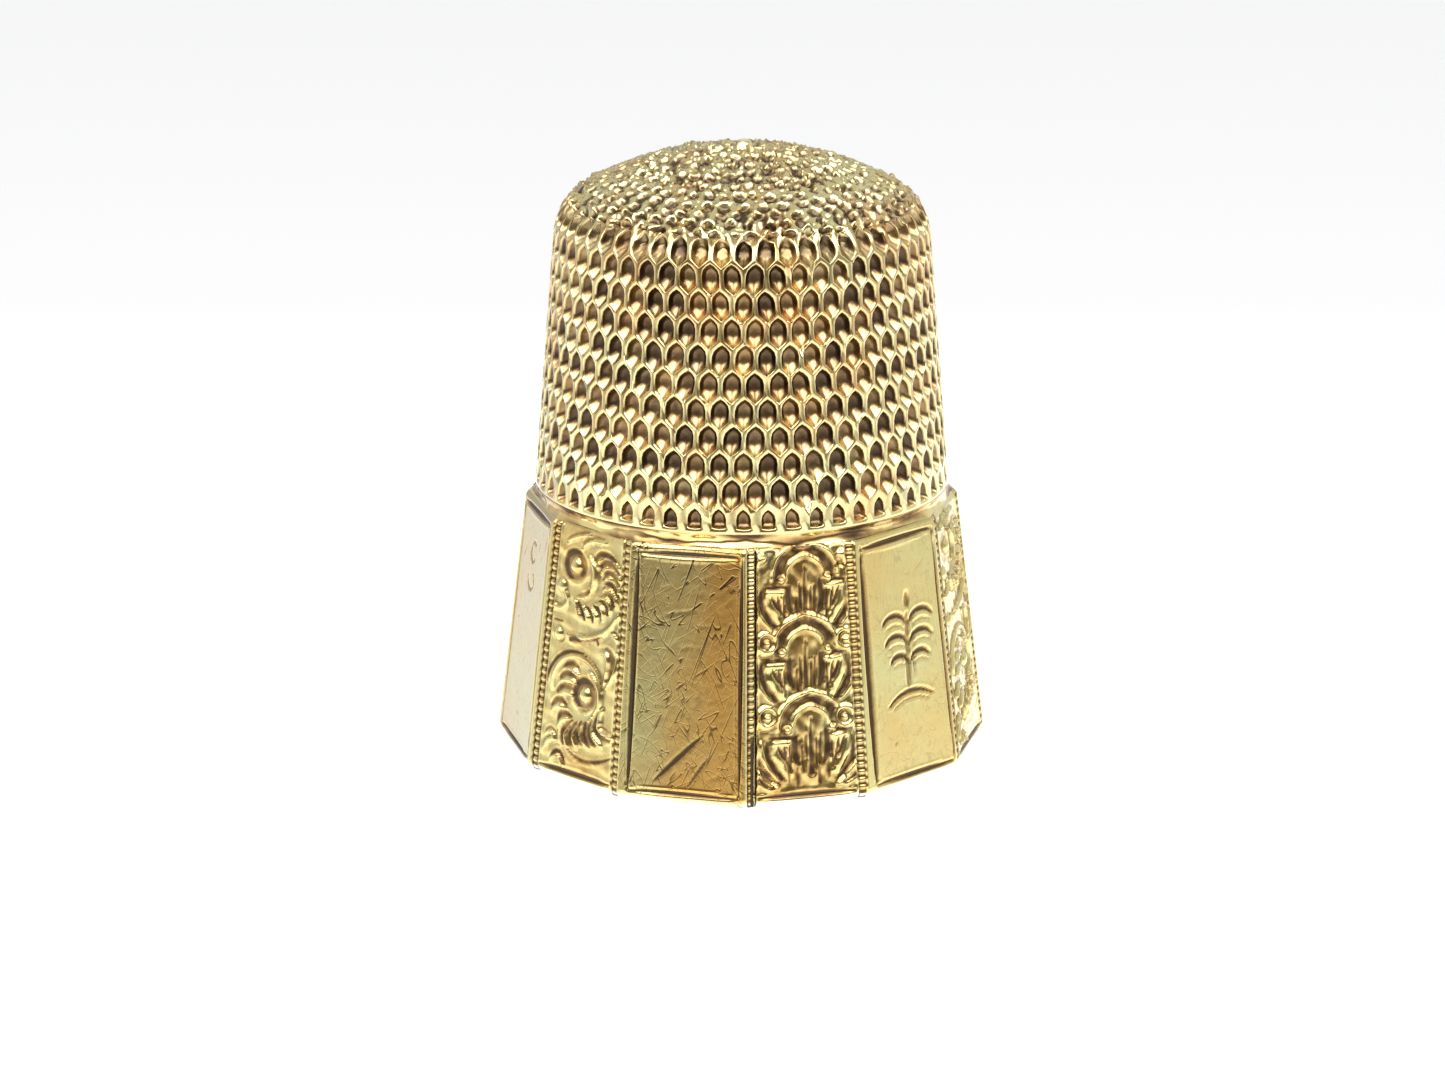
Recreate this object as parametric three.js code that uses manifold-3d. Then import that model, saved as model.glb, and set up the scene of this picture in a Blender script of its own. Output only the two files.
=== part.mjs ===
// A twelve-sided gold sewing thimble: a drawn, knurled cup with an applied band of twelve flat panels.
//
// The cup is one drawn shell. Its side is knurled with rows of pits that catch the head of a needle, and a
// turning centre stands on its crown. Below the knurling the cup is turned down to a thin skirt. A strip
// bent into a twelve-sided band sits on the skirt, and hard solder holds it: a fillet on the band's
// shoulder, a fillet inside its foot, and a sliver in the butt joint where the ends of the strip meet.
//
// Frame: millimetres, +Z up, origin at the centre of the foot, a corner of the band towards -Y.

import * as THREE from "three";
import { mergeVertices } from "three/addons/utils/BufferGeometryUtils.js";
import Module from "manifold-3d";

const wasm = await Module();
wasm.setup();

// ---- driving dimensions ----
const PANELS = 12; // flat sides of the band
const FOOT_CORNER_R = 8.8; // axis to a corner of the band, at the foot
const SHOULDER_CORNER_R = 7.7; // the same, at the top of the band
const BAND_HEIGHT = 9.05;

const PITS_ROUND = 54; // knurling pits in one row
const PIT_ROWS = 11;
const ROW_PITCH = 0.932; // from row to row, along the side
const FIRST_ROW_Z = 9.98; // height of the lowest row's pits
const KNURL_R = 7.335; // outer radius at that row
const TAPER = 0.0804; // radius lost per millimetre of height
const PIT_DEPTH = 0.2;
const PIT_HALF_SIDE = 0.31; // half the height of a pit's upright sides

const SHOULDER_ROUND = 1.93; // radius that joins the side to the crown
const CROWN_R = 11.6; // radius of the domed crown
const CROWN_TOP_Z = 21.48;
const TIP_R = 0.32; // the turning centre left on the crown
const TIP_ROOT = 0.3; // how far it reaches down into the crown
const TIP_TAPER = 0.8; // its top radius as a share of its foot radius
const TIP_HEIGHT = 0.3;

const SIDE_WALL = 0.45; // thickness of the cup under the knurling
const CROWN_WALL = 0.6;
const SKIRT_WALL = 0.24; // thickness of the cup inside the band
const SKIRT_TAPER = 0.105; // radius that the skirt loses per millimetre of height
const SKIRT_FOOT_Z = 0.3; // the skirt stops this far above the foot
const NECK_Z = [9.15, 9.5]; // the cup narrows between these heights, and the shoulder's solder fills it
const COVE_TOP_LAND = 0.09; // thickness of that solder at its top

const FOOT_FILLET_Z = 0.06; // height where the solder inside the foot begins

const FIT_GAP = 0.03; // left between pieces that touch
const CUT_PAST = 1; // how far a cutter runs on beyond what it cuts
const WELD = 1e-4; // corners closer than this are one
const JOINT_WIDTH = 0.28; // the butt joint of the band
const JOINT_OFFSET = 0.29; // from the band's front corner to the joint
const JOINT_RECESS = 0.12; // how far the joint's solder lies below the band's face
const LINE_WIDTH = 0.14; // engraved frame of a plain panel
const LINE_DEPTH = 0.07;
const LINE_INSET = 0.3; // from the panel's edge to the engraved line
const FIELD_DEPTH = 0.09; // sunk ground of an ornamented panel
const FIELD_INSET = 0.5;

const SEGMENTS = 2 * PITS_ROUND; // facets of each round face; fitted faces share them and run parallel
const BORE_SEGMENTS = 36; // facets of the cup's plain inside
const TIP_SIDES = 16;
const HALF_PANEL = Math.PI / PANELS;

// ---- outline of the cup ----
const outerRadius = (z) => KNURL_R - TAPER * (z - FIRST_ROW_Z);
const sideBore = (z) => outerRadius(z) - SIDE_WALL;
const skirtBore = (z) => sideBore(NECK_Z[0]) + SKIRT_TAPER * (NECK_Z[0] - z);
const skirtRadius = (z) => skirtBore(z) + SKIRT_WALL;

// Where the shoulder's arc meets the tapered side and the crown's arc, as points in (radius, height).
function shoulderArc(side, shoulderR, crownR, crownTopZ) {
  const tilt = Math.atan(TAPER); // the side's outward normal above the horizontal
  const crownZ = crownTopZ - crownR;
  const centreAt = (z) => [side(z) - shoulderR * Math.cos(tilt), z - shoulderR * Math.sin(tilt)];
  const reach = (z) => {
    const [r, h] = centreAt(z);
    return Math.hypot(r, h - crownZ) - (crownR - shoulderR);
  };
  let low = crownTopZ - 6;
  let high = crownTopZ;
  while (high - low > 1e-6) {
    const middle = (low + high) / 2;
    if (reach(middle) < 0) low = middle;
    else high = middle;
  }
  const [r, z] = centreAt(low);
  return { startZ: low, r, z, from: tilt, to: Math.atan2(z - crownZ, r), crownZ };
}

const outer = shoulderArc(outerRadius, SHOULDER_ROUND, CROWN_R, CROWN_TOP_Z);
const inner = shoulderArc(
  sideBore,
  SHOULDER_ROUND - SIDE_WALL,
  CROWN_R - CROWN_WALL,
  CROWN_TOP_Z - CROWN_WALL,
);

// A point of the cup's outside at arc length s above the lowest row of pits, with its outward normal.
function outsideAt(s) {
  const rise = Math.cos(outer.from);
  const sideLength = (outer.startZ - FIRST_ROW_Z) / rise;
  const arcLength = SHOULDER_ROUND * (outer.to - outer.from);
  if (s <= sideLength) {
    const z = FIRST_ROW_Z + s * rise;
    return { r: outerRadius(z), z, angle: outer.from };
  }
  if (s <= sideLength + arcLength) {
    const angle = outer.from + (s - sideLength) / SHOULDER_ROUND;
    const r = outer.r + SHOULDER_ROUND * Math.cos(angle);
    return { r, z: outer.z + SHOULDER_ROUND * Math.sin(angle), angle };
  }
  const angle = outer.to + (s - sideLength - arcLength) / CROWN_R;
  return { r: CROWN_R * Math.cos(angle), z: outer.crownZ + CROWN_R * Math.sin(angle), angle };
}

// ---- turning shapes into solids and back ----
// A closed surface through rings of points, from a pole to a pole. Each quad is split along its outer pair
// of corners, so that the ridges between pits stay whole.
function surfaceThroughRings(bottomPole, rings, topPole) {
  const count = rings[0].length;
  const points = [bottomPole, ...rings.flat(), topPole];
  const at = (ring, i) => 1 + ring * count + (i % count);
  const fromAxis = (k) => Math.hypot(points[k][0], points[k][1]);
  const faces = [];
  for (let i = 0; i < count; i++) {
    faces.push([0, at(0, i + 1), at(0, i)]);
    for (let ring = 0; ring + 1 < rings.length; ring++) {
      const [a, b] = [at(ring, i), at(ring, i + 1)];
      const [c, d] = [at(ring + 1, i + 1), at(ring + 1, i)];
      if (fromAxis(a) + fromAxis(c) >= fromAxis(b) + fromAxis(d)) faces.push([a, b, c], [a, c, d]);
      else faces.push([a, b, d], [b, c, d]);
    }
    faces.push([points.length - 1, at(rings.length - 1, i), at(rings.length - 1, i + 1)]);
  }
  const geometry = new THREE.BufferGeometry();
  geometry.setAttribute("position", new THREE.Float32BufferAttribute(points.flat(), 3));
  geometry.setIndex(faces.flat());
  return geometry;
}

// A ring of points at height z, whose radius may differ from point to point.
function ring(z, radiusAt, count = SEGMENTS) {
  return Array.from({ length: count }, (_, i) => {
    const turn = (2 * Math.PI * i) / count;
    const r = typeof radiusAt === "function" ? radiusAt(i) : radiusAt;
    return [r * Math.sin(turn), -r * Math.cos(turn), z];
  });
}

function solidOf(geometry) {
  const bare = geometry.index ? geometry.toNonIndexed() : geometry.clone();
  bare.deleteAttribute("normal");
  bare.deleteAttribute("uv");
  const merged = mergeVertices(bare, WELD);
  return new wasm.Manifold(
    new wasm.Mesh({
      numProp: 3,
      vertProperties: merged.attributes.position.array,
      triVerts: new Uint32Array(merged.index.array),
    }),
  );
}

function geometryOf(solid) {
  const mesh = solid.getMesh();
  const geometry = new THREE.BufferGeometry();
  geometry.setAttribute("position", new THREE.BufferAttribute(mesh.vertProperties, 3));
  geometry.setIndex(new THREE.BufferAttribute(mesh.triVerts, 1));
  return geometry;
}

// An upright frustum from z0 to z1, with a corner of its sides towards -Y.
function frustum(r0, z0, r1, z1, sides) {
  const geometry = new THREE.CylinderGeometry(r1, r0, z1 - z0, sides);
  geometry.rotateX(Math.PI / 2);
  geometry.translate(0, 0, (z0 + z1) / 2);
  return solidOf(geometry);
}

// A cutter for a conical bore that is r0 at z0 and r1 at z1, and runs on past both.
function conicalBore(r0, z0, r1, z1) {
  const flare = ((r1 - r0) / (z1 - z0)) * CUT_PAST;
  return frustum(r0 - flare, z0 - CUT_PAST, r1 + flare, z1 + CUT_PAST, SEGMENTS);
}

// ---- cup ----
// The knurled part of the cup's outside. Upright sides of the pits stand on every second point of a row's
// two rings, the floor of each pit lies between them, and the rows are set half a pit apart.
function knurledRings() {
  const rings = [];
  for (let row = 0; row < PIT_ROWS; row++) {
    for (const edge of [-PIT_HALF_SIDE, PIT_HALF_SIDE]) {
      const { r, z, angle } = outsideAt(row * ROW_PITCH + edge);
      const floor = { r: r - PIT_DEPTH * Math.cos(angle), z: z - PIT_DEPTH * Math.sin(angle) };
      const isFloor = (i) => (i + row) % 2 === 0;
      const points = ring(z, (i) => (isFloor(i) ? floor.r : r));
      points.forEach((point, i) => {
        if (isFloor(i)) point[2] = floor.z;
      });
      rings.push(points);
    }
  }
  return rings;
}

// The cup without its bore: skirt, neck, knurled side and domed crown.
function cupForm() {
  const rings = [
    ring(SKIRT_FOOT_Z, skirtRadius(SKIRT_FOOT_Z)),
    ring(NECK_Z[0], skirtRadius(NECK_Z[0])),
    ring(NECK_Z[1], outerRadius(NECK_Z[1])),
    ...knurledRings(),
  ];
  const crownStart = PIT_ROWS * ROW_PITCH - PIT_HALF_SIDE;
  const crownLength = CROWN_R * (Math.PI / 2 - outer.to);
  for (const share of [0, 0.3, 0.6]) {
    const { r, z } = outsideAt(crownStart + share * crownLength);
    rings.push(ring(z, r));
  }
  return solidOf(surfaceThroughRings([0, 0, SKIRT_FOOT_Z], rings, [0, 0, CROWN_TOP_Z]));
}

// The space inside the cup, from below the foot to the underside of the crown.
function cupBore() {
  const below = SKIRT_FOOT_Z - CUT_PAST;
  const rings = [below, NECK_Z[0]].map((z) => ring(z, skirtBore(z), BORE_SEGMENTS));
  const arc = (centreR, centreZ, r, angle) =>
    rings.push(ring(centreZ + r * Math.sin(angle), centreR + r * Math.cos(angle), BORE_SEGMENTS));
  for (const share of [0, 0.33, 0.67, 1]) {
    arc(inner.r, inner.z, SHOULDER_ROUND - SIDE_WALL, inner.from + share * (inner.to - inner.from));
  }
  for (const share of [0.4, 0.75]) {
    arc(0, inner.crownZ, CROWN_R - CROWN_WALL, inner.to + share * (Math.PI / 2 - inner.to));
  }
  return solidOf(surfaceThroughRings([0, 0, below], rings, [0, 0, CROWN_TOP_Z - CROWN_WALL]));
}

function cup() {
  const tip = frustum(
    TIP_R,
    CROWN_TOP_Z - TIP_ROOT,
    TIP_R * TIP_TAPER,
    CROWN_TOP_Z + TIP_HEIGHT,
    TIP_SIDES,
  );
  return geometryOf(cupForm().add(tip).subtract(cupBore()));
}

// ---- band ----
const bandCornerRadius = (z) => FOOT_CORNER_R + ((SHOULDER_CORNER_R - FOOT_CORNER_R) * z) / BAND_HEIGHT;
const panelLean = Math.atan(((FOOT_CORNER_R - SHOULDER_CORNER_R) * Math.cos(HALF_PANEL)) / BAND_HEIGHT);

// A block let into the middle of one panel: width0 wide at z0 and width1 at z1, both up the panel from
// its foot, and depth below its face.
function letIn(panel, width0, width1, z0, z1, depth) {
  const outline = new THREE.Shape([
    new THREE.Vector2(-width0 / 2, z0),
    new THREE.Vector2(width0 / 2, z0),
    new THREE.Vector2(width1 / 2, z1),
    new THREE.Vector2(-width1 / 2, z1),
  ]);
  const block = new THREE.ExtrudeGeometry(outline, { depth: depth + CUT_PAST, bevelEnabled: false });
  block.rotateX(Math.PI / 2); // now its outline stands upright, and its depth lies along -Y
  block.translate(0, depth, 0);
  block.rotateX(-panelLean);
  block.translate(0, -FOOT_CORNER_R * Math.cos(HALF_PANEL), 0);
  block.rotateZ((2 * panel + 1) * HALF_PANEL);
  return solidOf(block);
}

// The engraved frame of a plain panel: two upright lines, one along the top and one along the foot.
function engravedFrame(panel) {
  const slope = BAND_HEIGHT / Math.cos(panelLean);
  const halfWidth = (z) => bandCornerRadius(z * Math.cos(panelLean)) * Math.sin(HALF_PANEL) - LINE_INSET;
  const [z0, z1] = [LINE_INSET, slope - LINE_INSET];
  const frame = letIn(panel, 2 * halfWidth(z0), 2 * halfWidth(z1), z0, z1, LINE_DEPTH);
  const within = (z) => 2 * (halfWidth(z) - LINE_WIDTH);
  const [y0, y1] = [z0 + LINE_WIDTH, z1 - LINE_WIDTH];
  return frame.subtract(letIn(panel, within(y0), within(y1), y0, y1, LINE_DEPTH + CUT_PAST));
}

// The sunk ground of an ornamented panel.
function sunkField(panel) {
  const slope = BAND_HEIGHT / Math.cos(panelLean);
  const width = (z) => 2 * (bandCornerRadius(z * Math.cos(panelLean)) * Math.sin(HALF_PANEL) - FIELD_INSET);
  const [z0, z1] = [FIELD_INSET, slope - LINE_INSET];
  return letIn(panel, width(z0), width(z1), z0, z1, FIELD_DEPTH);
}

// The butt joint or what fills it: an upright slab through the wall beside the front corner.
function jointSlab(width, innerR, outerR, z0, z1) {
  const profile = new THREE.Shape([
    new THREE.Vector2(innerR(z0), z0),
    new THREE.Vector2(outerR(z0), z0),
    new THREE.Vector2(outerR(z1), z1),
    new THREE.Vector2(innerR(z1), z1),
  ]);
  const slab = new THREE.ExtrudeGeometry(profile, { depth: width, bevelEnabled: false });
  slab.rotateX(Math.PI / 2); // the profile's height now runs up Z, and its width lies along -Y
  slab.translate(0, width / 2, 0);
  slab.rotateZ(-Math.PI / 2);
  slab.translate(JOINT_OFFSET, 0, 0);
  return solidOf(slab);
}

const boreRadius = (z) => skirtRadius(z) + FIT_GAP;

function panelBand() {
  const bore = conicalBore(boreRadius(0), 0, boreRadius(BAND_HEIGHT), BAND_HEIGHT);
  let band = frustum(FOOT_CORNER_R, 0, SHOULDER_CORNER_R, BAND_HEIGHT, PANELS).subtract(bore);
  for (let panel = 0; panel < PANELS; panel++) {
    band = band.subtract(panel % 2 ? engravedFrame(panel) : sunkField(panel));
  }
  const through = (z) => bandCornerRadius(z) + CUT_PAST;
  const inside = (z) => boreRadius(z) - CUT_PAST;
  const joint = jointSlab(JOINT_WIDTH, inside, through, -CUT_PAST, BAND_HEIGHT + CUT_PAST);
  return geometryOf(band.subtract(joint));
}

// ---- solder ----
// The corner radius of the joint's own stretch of wall, which lies a little off the corner.
const jointFaceRadius = (z) => bandCornerRadius(z) - JOINT_OFFSET * Math.tan(HALF_PANEL);

function jointSolder() {
  const face = (z) => jointFaceRadius(z) - JOINT_RECESS;
  const back = (z) => boreRadius(z) + FIT_GAP;
  const width = JOINT_WIDTH - 2 * FIT_GAP;
  return geometryOf(jointSlab(width, back, face, FIT_GAP, BAND_HEIGHT - FIT_GAP));
}

// A cove that starts twelve-sided on the band's top edge and ends round against the cup.
function shoulderSolder() {
  const [z0, z1] = [BAND_HEIGHT + FIT_GAP, NECK_Z[1]];
  const top = outerRadius(z1) + FIT_GAP;
  const panelled = frustum(SHOULDER_CORNER_R, z0, SHOULDER_CORNER_R, z1, PANELS);
  const sloped = frustum(SHOULDER_CORNER_R, z0, top + COVE_TOP_LAND, z1, SEGMENTS);
  const bore = conicalBore(skirtRadius(z0) + FIT_GAP, z0, top, z1);
  return geometryOf(panelled.intersect(sloped).subtract(bore));
}

function footSolder() {
  const [z0, z1] = [FOOT_FILLET_Z, SKIRT_FOOT_Z - FIT_GAP];
  const face = frustum(skirtRadius(z0), z0, skirtRadius(z1), z1, SEGMENTS);
  const bore = conicalBore(skirtBore(z0) + SKIRT_WALL / 2, z0, skirtBore(z1), z1);
  return geometryOf(face.subtract(bore));
}

// ---- the thimble ----
const gold = new THREE.MeshStandardMaterial({ color: 0xd9b765, roughness: 0.28, metalness: 1 });
const bandGold = new THREE.MeshStandardMaterial({ color: 0xd6b45f, roughness: 0.24, metalness: 1 });
const solder = new THREE.MeshStandardMaterial({ color: 0xdcb873, roughness: 0.3, metalness: 1 });

const thimble = new THREE.Group();
for (const [name, geometry, material] of [
  ["knurled_cup", cup(), gold],
  ["panel_band", panelBand(), bandGold],
  ["shoulder_solder", shoulderSolder(), solder],
  ["foot_solder", footSolder(), solder],
  ["joint_solder", jointSolder(), solder],
]) {
  const mesh = new THREE.Mesh(geometry, material);
  mesh.name = name;
  thimble.add(mesh);
}

export default thimble;
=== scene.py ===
"""A twelve-sided gold sewing thimble, built round its CAD frame.

Lengths are in millimetres until a mesh is made, and then in metres. Azimuths run from the band's front
corner (-Y) towards +X, a panel's in degrees and a point's in radians. Heights are measured from the foot.
"""

import math

import bpy
import numpy as np
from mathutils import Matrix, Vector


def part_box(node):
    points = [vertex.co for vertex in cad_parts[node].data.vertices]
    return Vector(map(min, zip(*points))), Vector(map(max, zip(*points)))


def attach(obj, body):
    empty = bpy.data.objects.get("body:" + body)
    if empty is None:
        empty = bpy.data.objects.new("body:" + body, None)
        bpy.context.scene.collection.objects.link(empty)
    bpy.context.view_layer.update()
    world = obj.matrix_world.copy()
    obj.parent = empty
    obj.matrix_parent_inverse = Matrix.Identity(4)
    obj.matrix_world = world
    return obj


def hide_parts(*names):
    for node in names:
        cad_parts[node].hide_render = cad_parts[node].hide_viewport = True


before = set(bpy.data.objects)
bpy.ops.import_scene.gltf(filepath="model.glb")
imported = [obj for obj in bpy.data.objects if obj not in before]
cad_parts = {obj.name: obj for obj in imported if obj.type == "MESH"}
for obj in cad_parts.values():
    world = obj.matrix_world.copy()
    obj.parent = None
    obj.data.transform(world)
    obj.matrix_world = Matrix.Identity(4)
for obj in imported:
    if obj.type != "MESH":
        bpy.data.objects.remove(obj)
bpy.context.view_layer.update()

MM = 0.001  # metres in a millimetre

# ---- sizes that the frame gives ----
BAND_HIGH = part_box("panel_band")[1]
CUP_LOW, CUP_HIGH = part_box("knurled_cup")
COVE_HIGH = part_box("shoulder_solder")[1]
FOOT_SOLDER_LOW, FOOT_SOLDER_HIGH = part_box("foot_solder")
JOINT_LOW, JOINT_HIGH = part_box("joint_solder")
FOOT_R = BAND_HIGH.x / MM  # axis to a corner of the band, at its foot
BAND_H = BAND_HIGH.z / MM
SHOULDER_R = COVE_HIGH.x / MM  # axis to a corner of the band, at its top
NECK_TOP = COVE_HIGH.z / MM  # the plain neck ends here and the knurling begins
SKIRT_FOOT = CUP_LOW.z / MM
TIP_Z = CUP_HIGH.z / MM

# ---- the cup's outline ----
FIRST_ROW_Z = 9.98  # height of the lowest row of pits
KNURL_R = 7.335  # outer radius there
TAPER = 0.0804  # radius lost per millimetre of height
SHOULDER_ROUND = 1.93  # radius between side and crown
CROWN_R = 11.6
CROWN_TOP = 21.48
SIDE_WALL = 0.45
CROWN_WALL = 0.6
SKIRT_R = 7.17  # outer radius of the thin skirt at the neck
SKIRT_TAPER = 0.105
SKIRT_WALL = 0.24
SKIRT_TOP = NECK_TOP - 0.3  # the skirt begins here and widens downwards
FULL_WALL_Z = 13  # the side wall has its full thickness above this

# ---- knurling ----
PITS_ROUND = 54
PIT_ROWS = 11
ROW_PITCH = 0.932
CELL_TIP = 0.636  # from a cell's centre up to its top corner
CELL_SIDE = ROW_PITCH - CELL_TIP  # half the height of a cell's upright sides
LOW_EDGE = 0.47  # the knurling's plain lower edge, below the lowest row
HIGH_EDGE = 0.5  # and its upper edge, above the highest row
CELL_STEPS = 6  # divisions of a cell's width
RIDGE_WANDER = 0.004  # how unevenly high the ridges between the pits are
KNURL_COLUMNS = PITS_ROUND * CELL_STEPS

# ---- band ----
PANELS = 12
PANEL_TURN = 360 // PANELS  # degrees from one panel's middle to the next
FIRST_PANEL = 15  # azimuth of the ornamented panel on the right of the front corner
SCRATCHED_PANEL = 345  # the plain panel on its left, which is the most worn
SPRIG_PANEL = 45
CURLS_PANEL = 285
PAINTED_LIGHT_TARNISH_SHARE = {75: 0.5}  # painted light: share of the usual tarnish kept on a panel at the side, made paler as if washed by the bright side of the room
HALF_PANEL = math.pi / PANELS
LEAN = math.atan((FOOT_R - SHOULDER_R) * math.cos(HALF_PANEL) / BAND_H)
PANEL_H = BAND_H / math.cos(LEAN)  # height of a panel along its own face
BEAD_PITCH = 0.27
BEAD_ROWS = 4  # rows of the mesh in one bead
BEAD_HEIGHT = 0.095
TRACK_INSETS = (0.29, 0.21)  # from a panel's left and right edge to the middle of its beading
TRACK_HALF = 0.15
FIELD_GAP = 0.05  # between the beading and the sunk ground
FLORAL_SUNK, SCROLL_SUNK = 0.055, 0.025  # depths of the two kinds of sunk ground
BAND_BORE_GAP = 0.03

# Each random pattern adds its own number to this, so that no two patterns are alike.
SEED = 11


# ---- small helpers ----
def smooth(low, high, value):
    """0 below low, 1 above high, and an even curve between."""
    t = np.clip((value - low) / (high - low), 0, 1)
    return t * t * (3 - 2 * t)


def plateau(low, high, edge, value):
    """1 between low and high, falling to 0 at both of them over a stretch edge wide."""
    return smooth(low, low + edge, value) * (1 - smooth(high - edge, high, value))


def bell(value, middle, width):
    """1 where value is middle, falling away on both sides."""
    return np.exp(-(((value - middle) / width) ** 2))


def ripple(points, scale, seed, waves=7):
    """Soft lumps about -1 to 1 high and about scale across, at points in space."""
    rng = np.random.default_rng(seed)
    total = np.zeros(points.shape[:-1])
    for _ in range(waves):
        direction = rng.normal(size=3)
        direction /= np.linalg.norm(direction)
        stretch = rng.uniform(0.7, 1.5)
        phase = rng.uniform(0, 2 * math.pi)
        total += np.sin(points @ direction * (2 * math.pi * stretch / scale) + phase)
    return total / math.sqrt(waves) * 0.8


def azimuths_round(count):
    """Azimuths in radians of points spaced evenly round the axis."""
    return np.arange(count) * 2 * math.pi / count


def on_circle(radius, azimuth, z):
    """Points at that radius and azimuth (radians) about the axis."""
    radius, azimuth, z = np.broadcast_arrays(radius, azimuth, z)
    return np.stack([radius * np.sin(azimuth), -radius * np.cos(azimuth), z], axis=-1)


def make_piece(name, points, faces, material, slot, replaced, **attributes):
    """A mesh piece of the object: points in millimetres, and one number a point for each attribute."""
    mesh = bpy.data.meshes.new(name)
    mesh.from_pydata((np.asarray(points) * MM).tolist(), [], faces)
    mesh.validate()
    mesh.polygons.foreach_set("use_smooth", [True] * len(mesh.polygons))
    for key, values in attributes.items():
        layer = mesh.attributes.new(key, "FLOAT", "POINT")
        layer.data.foreach_set("value", np.asarray(values, np.float32))
    mesh.materials.append(material)
    piece = bpy.data.objects.new(name, mesh)
    bpy.context.scene.collection.objects.link(piece)
    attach(piece, "root")
    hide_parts(replaced)
    return piece


# ---- outline of the cup ----
def shoulder_arc(side_r, round_r, crown_r, crown_top):
    """The arc that joins a tapered side to a domed crown: its centre and its two end angles."""
    tilt = math.atan(TAPER)
    crown_z = crown_top - crown_r
    low, high = crown_top - 6, crown_top
    while high - low > 1e-7:
        z = (low + high) / 2
        r = side_r(z) - round_r * math.cos(tilt)
        h = z - round_r * math.sin(tilt)
        if math.hypot(r, h - crown_z) < crown_r - round_r:
            low = z
        else:
            high = z
    end = math.atan2(h - crown_z, r)
    return {"r": r, "z": h, "start": low, "from": tilt, "to": end, "crown_z": crown_z}


def side_radius(z):
    return KNURL_R - TAPER * (z - FIRST_ROW_Z)


OUTER_ARC = shoulder_arc(side_radius, SHOULDER_ROUND, CROWN_R, CROWN_TOP)
INNER_ARC = shoulder_arc(
    lambda z: side_radius(z) - SIDE_WALL,
    SHOULDER_ROUND - SIDE_WALL,
    CROWN_R - CROWN_WALL,
    CROWN_TOP - CROWN_WALL,
)
SIDE_LENGTH = (OUTER_ARC["start"] - FIRST_ROW_Z) / math.cos(OUTER_ARC["from"])
ARC_LENGTH = SHOULDER_ROUND * (OUTER_ARC["to"] - OUTER_ARC["from"])
CROWN_START = (PIT_ROWS - 1) * ROW_PITCH + HIGH_EDGE  # the crown's rings of pits begin here
APEX = SIDE_LENGTH + ARC_LENGTH + CROWN_R * (math.pi / 2 - OUTER_ARC["to"])


def outline(s):
    """Radius, height and outward angle of the cup's outside, at length s along it from the lowest row."""
    s = np.asarray(s, float)
    arc, tilt = OUTER_ARC, OUTER_ARC["from"]
    z_side = FIRST_ROW_Z + s * math.cos(tilt)
    arc_angle = tilt + (s - SIDE_LENGTH) / SHOULDER_ROUND
    crown_angle = arc["to"] + (s - SIDE_LENGTH - ARC_LENGTH) / CROWN_R
    stretches = [s <= SIDE_LENGTH, s <= SIDE_LENGTH + ARC_LENGTH]
    arc_r = arc["r"] + SHOULDER_ROUND * np.cos(arc_angle)
    arc_z = arc["z"] + SHOULDER_ROUND * np.sin(arc_angle)
    crown_z = arc["crown_z"] + CROWN_R * np.sin(crown_angle)
    radius = np.select(stretches, [side_radius(z_side), arc_r], CROWN_R * np.cos(crown_angle))
    height = np.select(stretches, [z_side, arc_z], crown_z)
    return radius, height, np.select(stretches, [np.full(s.shape, tilt), arc_angle], crown_angle)


def on_cup(azimuth, s, lift):
    """Points that stand lift off the cup's outside."""
    radius, height, angle = outline(s)
    return on_circle(radius + lift * np.cos(angle), azimuth, height + lift * np.sin(angle))


# ---- the cup ----
class Surface:
    """Points, their tarnish, and the faces between them."""

    def __init__(self):
        self.points = []
        self.tarnish = []
        self.faces = []

    def add(self, points, tarnish):
        start = len(self.points)
        self.points.extend(points)
        self.tarnish.extend(np.broadcast_to(tarnish, len(points)))
        return list(range(start, len(self.points)))

    def bridge(self, lower, upper):
        """Faces between two closed rings. One ring may have a whole number of times the other's points."""
        if len(lower) == len(upper):
            count = len(lower)
            for i in range(count):
                j = (i + 1) % count
                self.faces.append((lower[i], lower[j], upper[j], upper[i]))
        elif len(upper) > len(lower):
            self.fan_out(lower, upper, False)
        else:
            self.fan_out(upper, lower, True)

    def fan_out(self, few, many, flip):
        """Faces between a ring of few points and one of many, which stand at the same azimuths."""
        ratio = len(many) // len(few)
        for i in range(len(few)):
            j = (i + 1) % len(few)
            run = [many[(i * ratio + k) % len(many)] for k in range(ratio + 1)]
            middle = ratio // 2
            for k in range(ratio):
                owner = few[i] if k < middle else few[j]
                face = (owner, run[k + 1], run[k])
                self.faces.append(face[::-1] if flip else face)
            face = (few[i], few[j], run[middle])
            self.faces.append(face[::-1] if flip else face)

    def cap(self, ring, pole, above):
        for i in range(len(ring)):
            j = (i + 1) % len(ring)
            self.faces.append((ring[i], ring[j], pole) if above else (ring[j], ring[i], pole))


def mirrored(right_half):
    """A closed outline from its right half, which runs from its top point to its bottom point."""
    return np.array(right_half + [(-x, y) for x, y in right_half[-2:0:-1]])


def pit_outline(half_width, arch_base, arch_height, side_low, tip_low):
    """One level of a pit: a pointed arch over upright sides, and a V below."""
    arch = [
        (half_width * across, arch_base + arch_height * up)
        for across, up in ((0, 1), (0.46, 0.76), (0.86, 0.42), (1, 0))
    ]
    sides = [(half_width, (arch_base + side_low) / 2), (half_width, side_low)]
    fall = tip_low - side_low
    vee = [(half_width * (1 - share), side_low + fall * share) for share in (1 / 3, 2 / 3, 1)]
    return mirrored(arch + sides + vee)
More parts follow.
